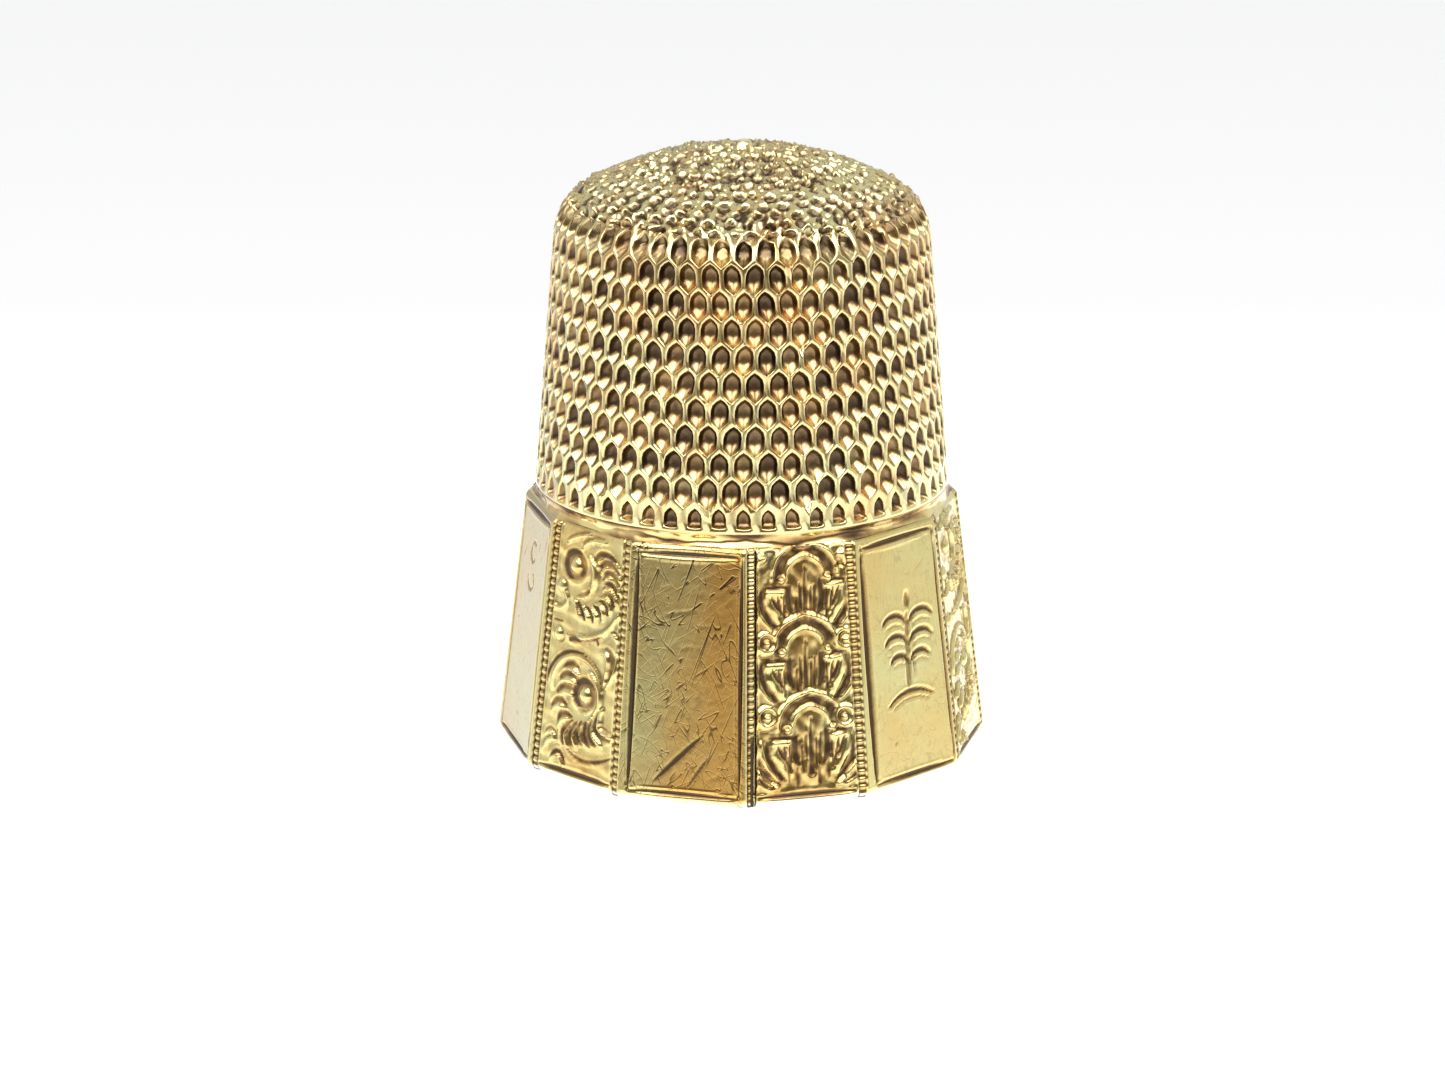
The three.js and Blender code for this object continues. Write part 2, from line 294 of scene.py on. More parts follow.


# Each level of a pit: its outline, its depth, and its tarnish in the upper part and along the V, the last
# from the V's middle outwards. Along the V it is partly painted shade: darkest down the V's middle crease,
# with lighter streaks beside it.
PIT_LEVELS = [
    ((0.350, 0.10, 0.44, -0.320, -0.625), 0.000, 0.10, (0.10, 0.10, 0.10, 0.10)),
    ((0.332, 0.10, 0.41, -0.310, -0.600), 0.016, 0.35, (0.70, 0.50, 0.35, 0.30)),
    ((0.306, 0.10, 0.36, -0.290, -0.562), 0.080, 1.00, (0.95, 0.02, 0.50, 0.90)),
    ((0.262, 0.10, 0.27, -0.160, -0.290), 0.285, 1.00, (1.00, 0.50, 1.00, 1.00)),
    ((0.160, 0.09, 0.16, -0.080, -0.140), 0.320, 1.00, (1.00, 1.00, 1.00, 1.00)),
]
LOWEST_PIT_LEVELS = [
    ((0.265, 0.02, 0.38, -0.315, -0.345), 0.000, 0.10, (0.10, 0.10, 0.10, 0.10)),
    ((0.250, 0.02, 0.36, -0.300, -0.330), 0.012, 0.20, (0.20, 0.20, 0.20, 0.20)),
    ((0.230, 0.02, 0.34, -0.285, -0.312), 0.060, 1.00, (0.10, 0.10, 0.30, 0.80)),
    ((0.195, 0.03, 0.25, -0.220, -0.235), 0.220, 1.00, (1.00, 1.00, 1.00, 1.00)),
    ((0.110, 0.03, 0.15, -0.120, -0.130), 0.250, 1.00, (1.00, 1.00, 1.00, 1.00)),
]


def cell_outline(row):
    """A cell's corners and the points between them: across in cell steps from its middle, and up in mm."""
    half = CELL_STEPS // 2
    slope = [CELL_TIP - (CELL_TIP - CELL_SIDE) * i / half for i in range(half)]
    first, last = row == 0, row == PIT_ROWS - 1
    top = [(i, HIGH_EDGE if last else slope[i]) for i in range(half)]
    low = [(i, -LOW_EDGE if first else -slope[i]) for i in reversed(range(half))]
    side_top = HIGH_EDGE if last else CELL_SIDE
    side_low = -LOW_EDGE if first else -CELL_SIDE
    sides = [(half, side_top), (half, (side_top + side_low) / 2), (half, side_low)]
    return mirrored(top + sides + low)


def add_knurling(cup, rng):
    """The rows of pits. Returns the rings of points along the knurling's lower and upper edges."""
    shared = {}
    edges = {0: {}, PIT_ROWS - 1: {}}
    step = 2 * math.pi / KNURL_COLUMNS
    for row in range(PIT_ROWS):
        border = cell_outline(row)
        levels = LOWEST_PIT_LEVELS if row == 0 else PIT_LEVELS
        for column in range(PITS_ROUND):
            middle = CELL_STEPS * column + (CELL_STEPS // 2) * (row % 2)
            s_row = row * ROW_PITCH
            loop = []
            for across, up in border:
                place = (int(middle + across) % KNURL_COLUMNS, round((s_row + up) * 1000))
                if place not in shared:
                    azimuth, s = place[0] * step, s_row + up
                    point = on_cup(azimuth, s, RIDGE_WANDER * rng.normal())
                    shared[place] = cup.add([point], 0.05 + 0.38 * smooth(0.5, 3.0, s))[0]
                loop.append(shared[place])
                if row in edges and abs(up) in (LOW_EDGE, HIGH_EDGE):
                    edges[row][place[0]] = shared[place]
            add_pit(cup, rng, loop, levels, middle * step, s_row)
    return [[edges[row][m] for m in range(KNURL_COLUMNS)] for row in (0, PIT_ROWS - 1)]


def add_pit(cup, rng, loop, levels, azimuth, s_row):
    """One pit inside its cell's border."""
    size = rng.normal(1, 0.022)
    depth_share = rng.normal(1, 0.06)
    shift = rng.normal(0, 0.010, 2)
    skew = rng.normal(0, 0.05)
    tone = rng.uniform(0.66, 1.0)
    radius = outline(s_row)[0]
    width_share = radius / KNURL_R * size
    # Painted light: the pits of the top row, where the side leans back towards the light above, get less
    # tarnish and look lighter.
    tone *= 1 - 0.12 * (s_row > (PIT_ROWS - 1.5) * ROW_PITCH)
    for shape, depth, upper_tarnish, vee_tarnish in levels:
        flat = pit_outline(*shape) * [width_share, size] + shift
        flat[:, 0] += skew * (flat[:, 1] + 0.1)
        tarnish = np.full(len(flat), upper_tarnish)
        # Painted shade along the V: a dark line down its middle crease, with lighter streaks beside it.
        tip = len(flat) // 2
        for step in range(-3, 4):
            tarnish[tip + step] = vee_tarnish[abs(step)]
        points = on_cup(azimuth + flat[:, 0] / radius, s_row + flat[:, 1], -depth * depth_share)
        ring = cup.add(list(points), np.clip(tarnish * tone, 0, 1))
        cup.bridge(ring, loop)
        loop = ring
    deepest = levels[-1]
    floor = on_cup(azimuth, s_row + deepest[0][1], -deepest[1] * depth_share * 1.02)
    cup.cap(loop[::-1], cup.add([floor], tone)[0], True)


# Rings of pits on the crown: the distance of each ring from the apex, along the crown.
CROWN_RINGS = (0.65, 1.15, 1.66, 2.18, 2.72, 3.27, 3.84, 4.43, 5.03, 5.50, 5.97, 6.50)
CROWN_PIT_PITCH = (0.54, 0.66)  # over the worn middle, and round the edge
CROWN_PIT_R = (0.28, 0.31)
WORN_REACH = 4.8  # the worn middle reaches this far from the apex
CROWN_PIT_DEPTH = 0.21
CROWN_PIT_WANDER = (0.075, 0.045)
CROWN_RIM = 0.045  # the metal raised round a crown pit
CROWN_STEP = 0.066  # between the crown's rings of points
CLOSEST = 0.03  # a ring whose points would be closer together than this has half as many
TIP_PLACE = (0.05, -0.03)  # middle of the small flat at the tip
TIP_REACH = 0.36


def crown_lift(azimuth, s, rng):
    """How far the crown stands off its outline, and its tarnish, at arrays of azimuth and length s."""
    radius = outline(s)[0]
    pit = np.zeros(s.shape)
    dark = np.zeros(s.shape)
    rim = np.zeros(s.shape)
    for distance in CROWN_RINGS:
        s_ring = APEX - distance
        r_ring = float(outline(s_ring)[0])
        edge = int(distance > WORN_REACH)
        count = round(2 * math.pi * r_ring / CROWN_PIT_PITCH[edge])
        wander = rng.normal(0, CROWN_PIT_WANDER[edge], (2, count))
        depths = rng.uniform(0.6, 1.15, count)
        sizes = rng.uniform(0.75, 1.10, count)
        turn = azimuth / (2 * math.pi) * count - rng.uniform(0, 1)
        nearest = np.round(turn).astype(int)
        which = nearest % count
        across = (turn - nearest) / count * 2 * math.pi * radius - wander[0][which]
        up = s - s_ring - wander[1][which]
        q = np.hypot(across, up) / (CROWN_PIT_R[edge] * sizes[which])
        pit = np.maximum(pit, (1 - smooth(0.40, 1.05, q)) * depths[which])
        dark = np.maximum(dark, 0.90 * (1 - smooth(0.64, 1.0, q)))
        rim = np.maximum(rim, bell(q, 1.12, 0.2))
    return CROWN_RIM * rim - CROWN_PIT_DEPTH * pit, dark


def crown_wear(base, s):
    """The scars of needles over the crown: lumps of two sizes and short dragged grooves."""
    lumps = 0.030 * ripple(base, 1.1, SEED + 1, 11) + 0.033 * ripple(base, 0.17, SEED + 2, 23)
    drag = np.abs(ripple(base * [0.35, 1.2, 1.0], 0.45, SEED + 3, 13))
    wear = 0.6 * smooth(CROWN_START, CROWN_START + 0.4, s) + 0.6 * smooth(APEX - 5.0, APEX - 3.2, s)
    return (lumps - 0.14 * np.clip(0.55 - drag, 0, 1)) * wear


def add_crown(cup, edge, rng):
    """The domed crown, from the knurling's upper edge to the apex."""
    columns = 2 * KNURL_COLUMNS
    rows = int((APEX - CROWN_START) / CROWN_STEP)
    levels = CROWN_START + (APEX - CROWN_START) * (np.arange(1, rows) / rows)
    azimuth, s = np.meshgrid(azimuths_round(columns), levels)
    lift, dark = crown_lift(azimuth, s, rng)
    base = on_cup(azimuth, s, 0)
    worn = crown_wear(base, s)
    lift += worn
    lift *= smooth(CROWN_START - 0.03, CROWN_START + 0.06, s)
    from_tip = np.hypot(base[..., 0] - TIP_PLACE[0], base[..., 1] - TIP_PLACE[1])
    boss = 1 - smooth(TIP_REACH * 0.6, TIP_REACH, from_tip)
    lift = lift * (1 - boss) + boss * (TIP_Z - CROWN_TOP - 0.01)
    points = on_cup(azimuth, s, lift)
    tarnish = np.clip(dark + np.clip(-9 * worn - 0.2, 0, 0.5), 0, 1)
    ring, stride = edge, 1
    for row in range(len(levels)):
        round_it = 2 * math.pi * outline(levels[row])[0]
        while round_it * stride / columns < CLOSEST and stride < 8:
            stride *= 2
        new = cup.add(list(points[row, ::stride]), tarnish[row, ::stride])
        cup.bridge(ring, new)
        ring = new
    top = points[-1].mean(axis=0)
    cup.cap(ring, cup.add([top], 0.1)[0], True)


def add_inside(cup, edge):
    """Everything below the knurling: the neck, the thin skirt, and the plain inside up to the crown."""
    azimuths = azimuths_round(KNURL_COLUMNS)
    neck = [(side_radius(NECK_TOP) - 0.02, NECK_TOP - 0.03), (SKIRT_R, SKIRT_TOP)]
    skirt_foot_r = SKIRT_R + SKIRT_TAPER * (SKIRT_TOP - SKIRT_FOOT)
    ring = edge
    for radius, z in neck + [(skirt_foot_r, SKIRT_FOOT)]:
        lower = cup.add(list(on_circle(radius, azimuths, z)), 0.3)
        cup.bridge(lower, ring)
        ring = lower
    inside = [(skirt_foot_r - SKIRT_WALL, SKIRT_FOOT), (SKIRT_R - SKIRT_WALL, SKIRT_TOP)]
    inside.append((side_radius(FULL_WALL_Z) - SIDE_WALL, FULL_WALL_Z))
    arc = INNER_ARC
    for share in np.linspace(0, 1, 5):
        angle = arc["from"] + share * (arc["to"] - arc["from"])
        reach = SHOULDER_ROUND - SIDE_WALL
        inside.append((arc["r"] + reach * math.cos(angle), arc["z"] + reach * math.sin(angle)))
    for share in (0.25, 0.5, 0.75):
        angle = arc["to"] + share * (math.pi / 2 - arc["to"])
        reach = CROWN_R - CROWN_WALL
        inside.append((reach * math.cos(angle), arc["crown_z"] + reach * math.sin(angle)))
    for radius, z in inside:
        count = KNURL_COLUMNS if z == SKIRT_FOOT else KNURL_COLUMNS // 3
        upper = cup.add(list(on_circle(radius, azimuths_round(count), z)), 0.25)
        cup.bridge(upper, ring)
        ring = upper
    top = (0, 0, CROWN_TOP - CROWN_WALL)
    cup.cap(ring[::-1], cup.add([top], 0.25)[0], True)


# The knocked metal round the crown's edge: heights and radii between which it fades in and out again, and
# its unevenness as a share of the radius.
KNOCKED_FROM_Z, KNOCKED_TO_Z = (18.9, 19.5), (20.0, 20.3)
KNOCKED_FROM_R = (5.0, 5.5)
KNOCKED = 0.0045


def knocked_edge(points):
    """1 on the knocked metal round the crown's edge, fading to 0 away from it."""
    radius, z = np.hypot(points[:, 0], points[:, 1]), points[:, 2]
    return smooth(*KNOCKED_FROM_Z, z) * (1 - smooth(*KNOCKED_TO_Z, z)) * smooth(*KNOCKED_FROM_R, radius)


def cup_warmth(points, tarnish):
    """The cup's warm toning: more up the side, in the pits and under tarnish, less on the crown."""
    z = points[:, 2]
    below = side_radius(z) - np.hypot(points[:, 0], points[:, 1])
    in_pit = smooth(0.03, 0.12, below) * (below < SIDE_WALL - 0.02) * (z < OUTER_ARC["start"])
    patches = 0.24 * ripple(points, 2.6, SEED + 7) + 0.15 * ripple(points, 0.8, SEED + 8)
    side, crown = smooth(11.0, 20.0, z), smooth(19.6, 20.4, z)
    return 0.10 + 0.32 * side - 0.25 * crown + patches + 0.55 * in_pit + 0.4 * tarnish


def cup_piece(material):
    cup = Surface()
    rng = np.random.default_rng(SEED)
    low_edge, high_edge = add_knurling(cup, rng)
    add_crown(cup, high_edge, rng)
    add_inside(cup, low_edge)
    points, tarnish = np.array(cup.points), np.array(cup.tarnish)
    knocked = knocked_edge(points)
    points *= 1 + (KNOCKED * ripple(points, 0.45, SEED + 9, 15) * knocked)[:, None]
    warmth_and_sheen = cup_warmth(points, tarnish)
    dirt = (0.10 + 0.25 * ripple(points, 0.5, SEED + 19)) * knocked
    attributes = {"tarnish": np.clip(np.maximum(tarnish, dirt), 0, 1), "warmth_and_sheen": np.clip(warmth_and_sheen, 0, 1)}
    return make_piece("cup", points, cup.faces, material, "cup_gold", "knurled_cup", **attributes)


# ---- relief on a panel ----
def arc(centre, radius, start, end, count=14, squash=1.0):
    """Points on an arc, or on a spiral where radius is a pair. Angles in degrees, from +x towards +y."""
    first, last = radius if isinstance(radius, tuple) else (radius, radius)
    turn = np.radians(np.linspace(start, end, count))
    reach = np.linspace(first, last, count)
    return np.stack([centre[0] + reach * np.cos(turn) * squash, centre[1] + reach * np.sin(turn)], axis=-1)


def taper(along, kind):
    """How wide a stroke is along its length, from 0 to 1."""
    if kind == "both":
        return np.sqrt(np.clip(4 * along * (1 - along), 0, 1)) + 1e-3
    if kind == "end":
        return np.sqrt(np.clip(1 - along, 0, 1)) + 1e-3
    if kind == "start":
        return np.sqrt(np.clip(along, 0, 1)) + 1e-3
    return np.ones(along.shape)


class Relief:
    """Heights and tarnish over one panel's face: x across from its middle line, y up from its foot."""

    def __init__(self, x, y):
        self.x = x
        self.y = y
        self.h = np.zeros(x.shape)
        self.tarnish = np.zeros(x.shape)
        self.ground = np.zeros(x.shape)

    def reach(self, path, width, kind):
        """How far each point is from a path, in widths of the stroke."""
        path = np.asarray(path, float)
        best = np.full(self.x.shape, np.inf)
        along = np.zeros(self.x.shape)
        lengths = np.hypot(*np.diff(path, axis=0).T)
        run = np.concatenate([[0], np.cumsum(lengths)]) / lengths.sum()
        for k, length in enumerate(lengths):
            dx, dy = path[k + 1] - path[k]
            px, py = self.x - path[k][0], self.y - path[k][1]
            t = np.clip((px * dx + py * dy) / length**2, 0, 1)
            distance = np.hypot(px - t * dx, py - t * dy)
            closer = distance < best
            best = np.where(closer, distance, best)
            along = np.where(closer, run[k] + t * (run[k + 1] - run[k]), along)
        return best / (width * taper(along, kind))

    def ridge(self, path, width, height, kind="both"):
        """A rounded ridge that stands height above the ground."""
        q = np.clip(self.reach(path, width, kind), 0, 1)
        self.h = np.maximum(self.h, self.ground + height * np.sqrt(1 - q**2))
        self.tarnish = self.tarnish * np.clip(q * 1.2, 0, 1)

    def slab(self, corners, height, edge=0.07):
        """A flat-topped block inside a convex outline whose corners run anticlockwise."""
        depth_in = np.full(self.x.shape, np.inf)
        for (x0, y0), (x1, y1) in zip(corners, corners[1:] + corners[:1]):
            length = math.hypot(x1 - x0, y1 - y0)
            inward = ((x1 - x0) * (self.y - y0) - (y1 - y0) * (self.x - x0)) / length
            depth_in = np.minimum(depth_in, inward)
        rise = np.sqrt(np.clip(depth_in / edge, 0, 1))
        self.h = np.maximum(self.h, self.ground + height * rise)
        self.tarnish = self.tarnish * (1 - smooth(0, 0.4, rise))

    def swell(self, path, width, height, kind="both"):
        """A soft rise added to what is there."""
        q = np.clip(self.reach(path, width, kind), 0, 1)
        self.h = self.h + height * (1 - q**2) ** 2

    def cut(self, path, width, depth, dirt=1.0, burr=0.12, kind="both"):
        """A V-shaped cut, with a little metal raised along both its edges."""
        q = self.reach(path, width, kind)
        self.h = self.h - depth * np.clip(1 - q, 0, 1) + burr * depth * bell(q, 1.3, 0.3)
        self.tarnish = np.maximum(self.tarnish, dirt * np.clip(1.9 - 1.9 * q, 0, 1))

    def hollow(self, path, width, depth, dirt=0.9, kind="both"):
        """A round-bottomed gouge, with a little metal raised along both its edges."""
        q = self.reach(path, width, kind)
        self.h = self.h - depth * np.sqrt(np.clip(1 - q**2, 0, 1)) + 0.15 * depth * bell(q, 1.25, 0.25)
        self.tarnish = np.maximum(self.tarnish, dirt * np.clip(1.15 - q**2, 0, 1))

    def sink(self, left, right, low, high, depth):
        """The lowered ground of an ornamented panel. left and right are arrays, one value for each row."""
        inside = plateau(left, right, 0.1, self.x) * plateau(low, high, 0.08, self.y)
        self.ground = -depth * inside
        self.h = self.h + self.ground
        self.tarnish = 6.0 * depth * inside

    def unevenness(self, height, tone, scale, seed):
        """The chasing tool's unevenness over the whole face, and grime that has caught in it."""
        lumps = ripple(np.stack([self.x, self.y, 0 * self.x], axis=-1), scale, seed)
        self.h = self.h + height * lumps
        self.tarnish = np.clip(self.tarnish + tone * lumps, 0, 1)

    def boss(self, centre, radius, height):
        q = np.clip(np.hypot(self.x - centre[0], self.y - centre[1]) / radius, 0, 1)
        self.h = np.maximum(self.h, self.ground + height * np.sqrt(1 - q**2))
        self.tarnish = self.tarnish * np.clip(q, 0, 1) ** 2


def ogee(middle, apex, half_wide, drop, count=19):
    """A pointed arch that springs drop below its apex."""
    t = np.linspace(-1, 1, count)
    fall = 0.40 * np.abs(t) + 0.60 * np.abs(t) ** 3
    return np.stack([middle + half_wide * np.sin(math.pi / 2 * t), apex - drop * fall], axis=-1)


def bow(start, middle, end, count=9):
    """A smooth curve through three points."""
    t = np.linspace(0, 1, count)[:, None]
    start, middle, end = np.array(start), np.array(middle), np.array(end)
    return start * (1 - t) * (1 - 2 * t) + middle * 4 * t * (1 - t) + end * t * (2 * t - 1)


def palmette_leaf(relief, middle, apex, side):
    """The fluted leaf at one side of a palmette's petal, and the gouges that part it from the ground."""
    ledge, foot = 1.50 - 0.08 * side, 2.85  # how far its upper edge and its foot lie below the apex

    def at(across, down):
        return middle + side * across, apex - down

    corners = [at(0.66, foot), at(0.98, foot), at(1.40, foot - 0.75), at(1.42, ledge), at(0.62, ledge)]
    relief.slab(corners if side > 0 else corners[::-1], 0.08, 0.14)
    relief.ridge([at(1.32, ledge + 0.02), at(0.66, ledge + 0.04)], 0.06, 0.13, "even")
    relief.cut([at(1.50, ledge - 0.14), at(0.55, ledge - 0.12)], 0.11, 0.10)
    for k in range(3):
        flute = [at(0.78 + 0.22 * k, ledge + 0.12), at(0.76 + 0.10 * k, foot - 0.15 - 0.22 * k)]
        relief.cut(flute, 0.065 + 0.015 * k, 0.12, 0.95)
    relief.hollow(bow(at(0.52, ledge - 0.22), at(0.60, 1.95), at(0.42, foot - 0.4)), 0.17, 0.15, 1.0)
    relief.hollow(bow(at(1.56, ledge - 0.08), at(1.52, 2.25), at(0.92, foot + 0.12)), 0.17, 0.15, 1.0)
    relief.ridge(bow(at(1.80, 1.45), at(1.70, 2.25), at(1.20, 2.95)), 0.13, 0.15)


def palmette(relief, middle, apex):
    """A hooded tulip: a pointed hood over a domed petal with ribs, and a fluted leaf at each side."""

    def at(across, down):
        return middle + across, apex - down

    relief.swell([at(0, 0.8), at(0, 2.7)], 0.62, 0.07, "even")
    for side in (-1, 1):
        palmette_leaf(relief, middle, apex, side)
    relief.hollow(ogee(middle, apex - 0.12, 0.94, 1.10), 0.22, 0.13, 0.85, "even")
    relief.ridge(ogee(middle, apex + 0.14, 1.18, 1.34), 0.09, 0.12)
    relief.ridge(ogee(middle, apex - 0.36, 0.70, 0.95), 0.08, 0.11)
    # Painted shade: a soft brown patch under the hood's apex, made as a cut with no depth.
    relief.cut([at(-0.05, 0.72), at(-0.12, 1.15)], 0.55, 0, 0.45, 0, "even")
    for side in (-1, 1):
        relief.boss(at(side * 0.84, 1.20), 0.15, 0.20)
    for across, top, foot in ((-0.34, 1.70, 2.7), (-0.19, 1.30, 2.3), (0.20, 1.45, 2.6), (0.35, 1.35, 2.45)):
        relief.cut([at(across, top), at(0.85 * across, foot)], 0.08, 0.09, 0.9)
    relief.cut([at(0, 0.75), at(0, 1.5), at(0, 2.75)], 0.15, 0.16, 0.95, kind="start")


def berry(relief, centre):
    """A round berry in a raised ring."""
    relief.boss(centre, 0.46, 0.13)
    relief.hollow(arc((centre[0], centre[1] + 0.03), 0.09, 0, 360, 8), 0.20, 0.13, 0.75, "even")
    relief.boss((centre[0] + 0.02, centre[1] - 0.02), 0.14, 0.16)
    relief.cut(arc(centre, 0.50, 150, 320, 10), 0.06, 0.06, 0.8)


def floral_panel(relief):
    """Three stacked palmettes, pairs of berries between them, and a small leaf in each lower corner."""
    for middle, apex in ((0.15, PANEL_H + 0.02), (0.10, PANEL_H - 2.55), (0.22, PANEL_H - 5.28)):
        palmette(relief, middle, apex)
    for centre in ((-1.27, 5.76), (1.56, 5.72), (-1.32, 3.14), (1.46, 2.98)):
        berry(relief, centre)
    for x, top, foot in ((-0.62, 1.75, 0.8), (-0.30, 1.30, 0.55), (0.48, 1.35, 0.6), (0.82, 1.80, 0.75)):
        relief.cut([(x, top), (x + 0.03, foot)], 0.09, 0.08, 0.8)
    for side, x in ((-1, -1.72), (1, 1.86)):
        relief.ridge(bow((x, 1.35), (x - side * 0.12, 0.85), (x - side * 0.75, 0.62)), 0.20, 0.14)
        relief.hollow(bow((x, 1.1), (x - side * 0.2, 0.82), (x - side * 0.55, 0.66)), 0.09, 0.08, 0.9)
        spray = bow((x, 1.65), (x - side * 0.35, 1.15), (x - side * 0.80, 0.72))
        relief.hollow(spray, 0.11, 0.11, kind="end")
        relief.ridge([(x, PANEL_H - 0.50), (x - side * 0.55, PANEL_H - 0.35)], 0.17, 0.12)
        relief.hollow([(x, PANEL_H - 0.86), (x - side * 0.60, PANEL_H - 0.70)], 0.11, 0.09, 0.8)


def crescent(relief, start, middle, end, width, dirt=0.6):
    """One comma of an acanthus: a gouge along a bow, and the metal it raised on the bow's hollow side."""
    path = bow(start, middle, end)
    aside = (np.array(start) + np.array(end)) / 2 - np.array(middle)
    aside *= 1.7 * width / math.hypot(*aside)
    relief.ridge(path + aside, width * 0.95, 0.11)
    relief.hollow(path, width, 1.1 * width, dirt)


def eye(relief, centre, thick_from, thick_to):
    """The eye of a scroll: a ball in a deep ring that is thicker over part of the way round."""
    relief.hollow(arc(centre, 0.42, 0, 360, 24), 0.16, 0.10, 0.75, "even")
    relief.hollow(arc(centre, 0.50, thick_from, thick_to, 12), 0.20, 0.09, 1.0)
    relief.boss(centre, 0.28, 0.15)


FAN = (0.0, 7.35)  # middle of the upper scroll's fan of leaves
FAN_LEAVES = 9


def upper_scroll(relief):
    """The upper scroll: its eye, leaves above it, a fan of leaves round its right, and a curl below."""
    relief.ridge(arc((-0.42, 7.55), (0.72, 0.90), 60, -95, 20), 0.15, 0.13)
    relief.hollow(bow((0.22, 7.12), (0.0, 6.85), (-0.48, 6.68)), 0.11, 0.10, 0.7)
    eye(relief, (-0.62, 7.72), 60, 260)
    crescent(relief, (-1.25, 8.50), (-0.80, 8.80), (-0.15, 8.98), 0.08)
    crescent(relief, (-0.45, 8.50), (0.05, 8.85), (0.75, 8.88), 0.09)
    for k in range(FAN_LEAVES):
        share = k / (FAN_LEAVES - 1)
        inner, outer = 68 - 182 * share, 32 - 124 * share
        near, far = 0.72 + 0.28 * share, 1.62 - 0.12 * share
        points = []
        for turn, reach in ((inner, near), ((inner + outer) / 2 + 9, (near + far) / 2 + 0.03), (outer, far)):
            angle = math.radians(turn)
            points.append((FAN[0] + reach * math.cos(angle), FAN[1] + reach * math.sin(angle)))
        crescent(relief, *points, 0.165 - 0.03 * share, 0.85)
    relief.ridge(arc((-1.28, 6.50), (0.30, 0.52), 60, -200, 14), 0.10, 0.09)
    relief.hollow(arc((-1.28, 6.50), (0.16, 0.40), 60, -200, 14), 0.09, 0.07, 0.55)
    relief.boss((-1.25, 6.88), 0.24, 0.11)


def scroll_stem(relief):
    """The stem between the scrolls, with the leaf at its right end."""
    relief.ridge(bow((1.65, 6.45), (0.75, 5.45), (-0.85, 5.20), 15), 0.13, 0.13)
    relief.hollow(bow((0.95, 5.52), (0.35, 5.22), (-0.45, 5.08)), 0.07, 0.08, 0.7)
    relief.hollow(bow((-0.75, 5.0), (-0.45, 5.14), (-0.1, 5.1)), 0.13, 0.12, 0.95)
    relief.hollow(bow((-1.6, 5.58), (-1.35, 5.62), (-1.05, 5.60)), 0.07, 0.07, 0.9)
    relief.boss((-1.26, 5.16), 0.22, 0.11)
    relief.hollow(bow((-1.4, 4.92), (-1.1, 4.90), (-0.95, 5.05)), 0.07, 0.07, 0.8)
    crescent(relief, (1.05, 5.12), (1.48, 4.85), (1.35, 3.95), 0.14, 0.8)
    crescent(relief, (1.40, 5.78), (1.80, 5.60), (1.80, 5.10), 0.09, 0.75)
    relief.ridge(bow((1.70, 5.2), (1.72, 4.5), (1.28, 3.65)), 0.09, 0.12)
    relief.hollow([(0.68, 5.30), (0.76, 5.12)], 0.09, 0.08, 0.8)


LOWER_LEAVES = (
    ((-0.90, 4.02), (-0.48, 4.24), (-0.05, 4.12)),
    ((-1.05, 3.55), (-0.68, 3.85), (-0.20, 3.76)),
    ((-1.15, 3.02), (-0.82, 3.36), (-0.32, 3.34)),
    ((-1.35, 2.48), (-1.00, 2.84), (-0.52, 2.66)),
    ((-1.00, 2.02), (-0.72, 2.40), (-0.25, 2.32)),
    ((-0.60, 1.25), (-0.66, 1.80), (-0.22, 2.22)),
    ((-0.18, 1.30), (-0.30, 1.80), (0.05, 2.25)),
    ((0.40, 1.42), (0.06, 1.80), (0.22, 2.30)),
    ((0.75, 1.45), (0.40, 1.85), (0.50, 2.40)),
    ((1.05, 1.55), (0.62, 1.95), (0.74, 2.50)),
    ((1.75, 1.92), (0.96, 2.10), (1.04, 2.85)),
)


def lower_scroll(relief):
    """The lower scroll: its long outer curve, its eye, the leaves round it, and the swag at the foot."""
    relief.hollow(arc((-0.22, 3.25), 1.44, 182, 70, 24), 0.10, 0.09, 0.95)
    relief.hollow(arc((-0.02, 3.42), 1.16, 88, 15, 14), 0.085, 0.07, 0.9)
    relief.ridge(arc((-0.12, 3.30), 1.26, 190, 10, 24), 0.10, 0.09)
    relief.ridge(arc((0.10, 3.20), 0.95, 75, -75, 18), 0.12, 0.12)
    eye(relief, (0.30, 3.26), 30, 250)
    relief.hollow(bow((-0.05, 2.68), (0.28, 2.66), (0.62, 2.82)), 0.05, 0.06, 0.9)
    for points in LOWER_LEAVES:
        crescent(relief, *points, 0.145, 0.85)
    relief.hollow([(1.15, 2.32), (1.50, 2.28)], 0.11, 0.08, 0.55)
    relief.hollow(bow((-0.50, 1.22), (0.60, 0.92), (2.0, 1.42), 15), 0.095, 0.11, 0.85)
    crescent(relief, (-1.55, 1.50), (-1.30, 1.76), (-1.02, 1.56), 0.09, 0.7)
    crescent(relief, (-1.20, 0.72), (-0.82, 1.00), (-0.48, 0.62), 0.11, 0.85)
    relief.ridge(bow((-1.60, 0.75), (-1.35, 1.25), (-0.95, 1.36)), 0.12, 0.10)


def scroll_panel(relief):
    """Two stacked acanthus scrolls and the stem that links them."""
    upper_scroll(relief)
    scroll_stem(relief)
    lower_scroll(relief)


SPRIG_X = 0.3  # how far right of the panel's middle the sprig stands


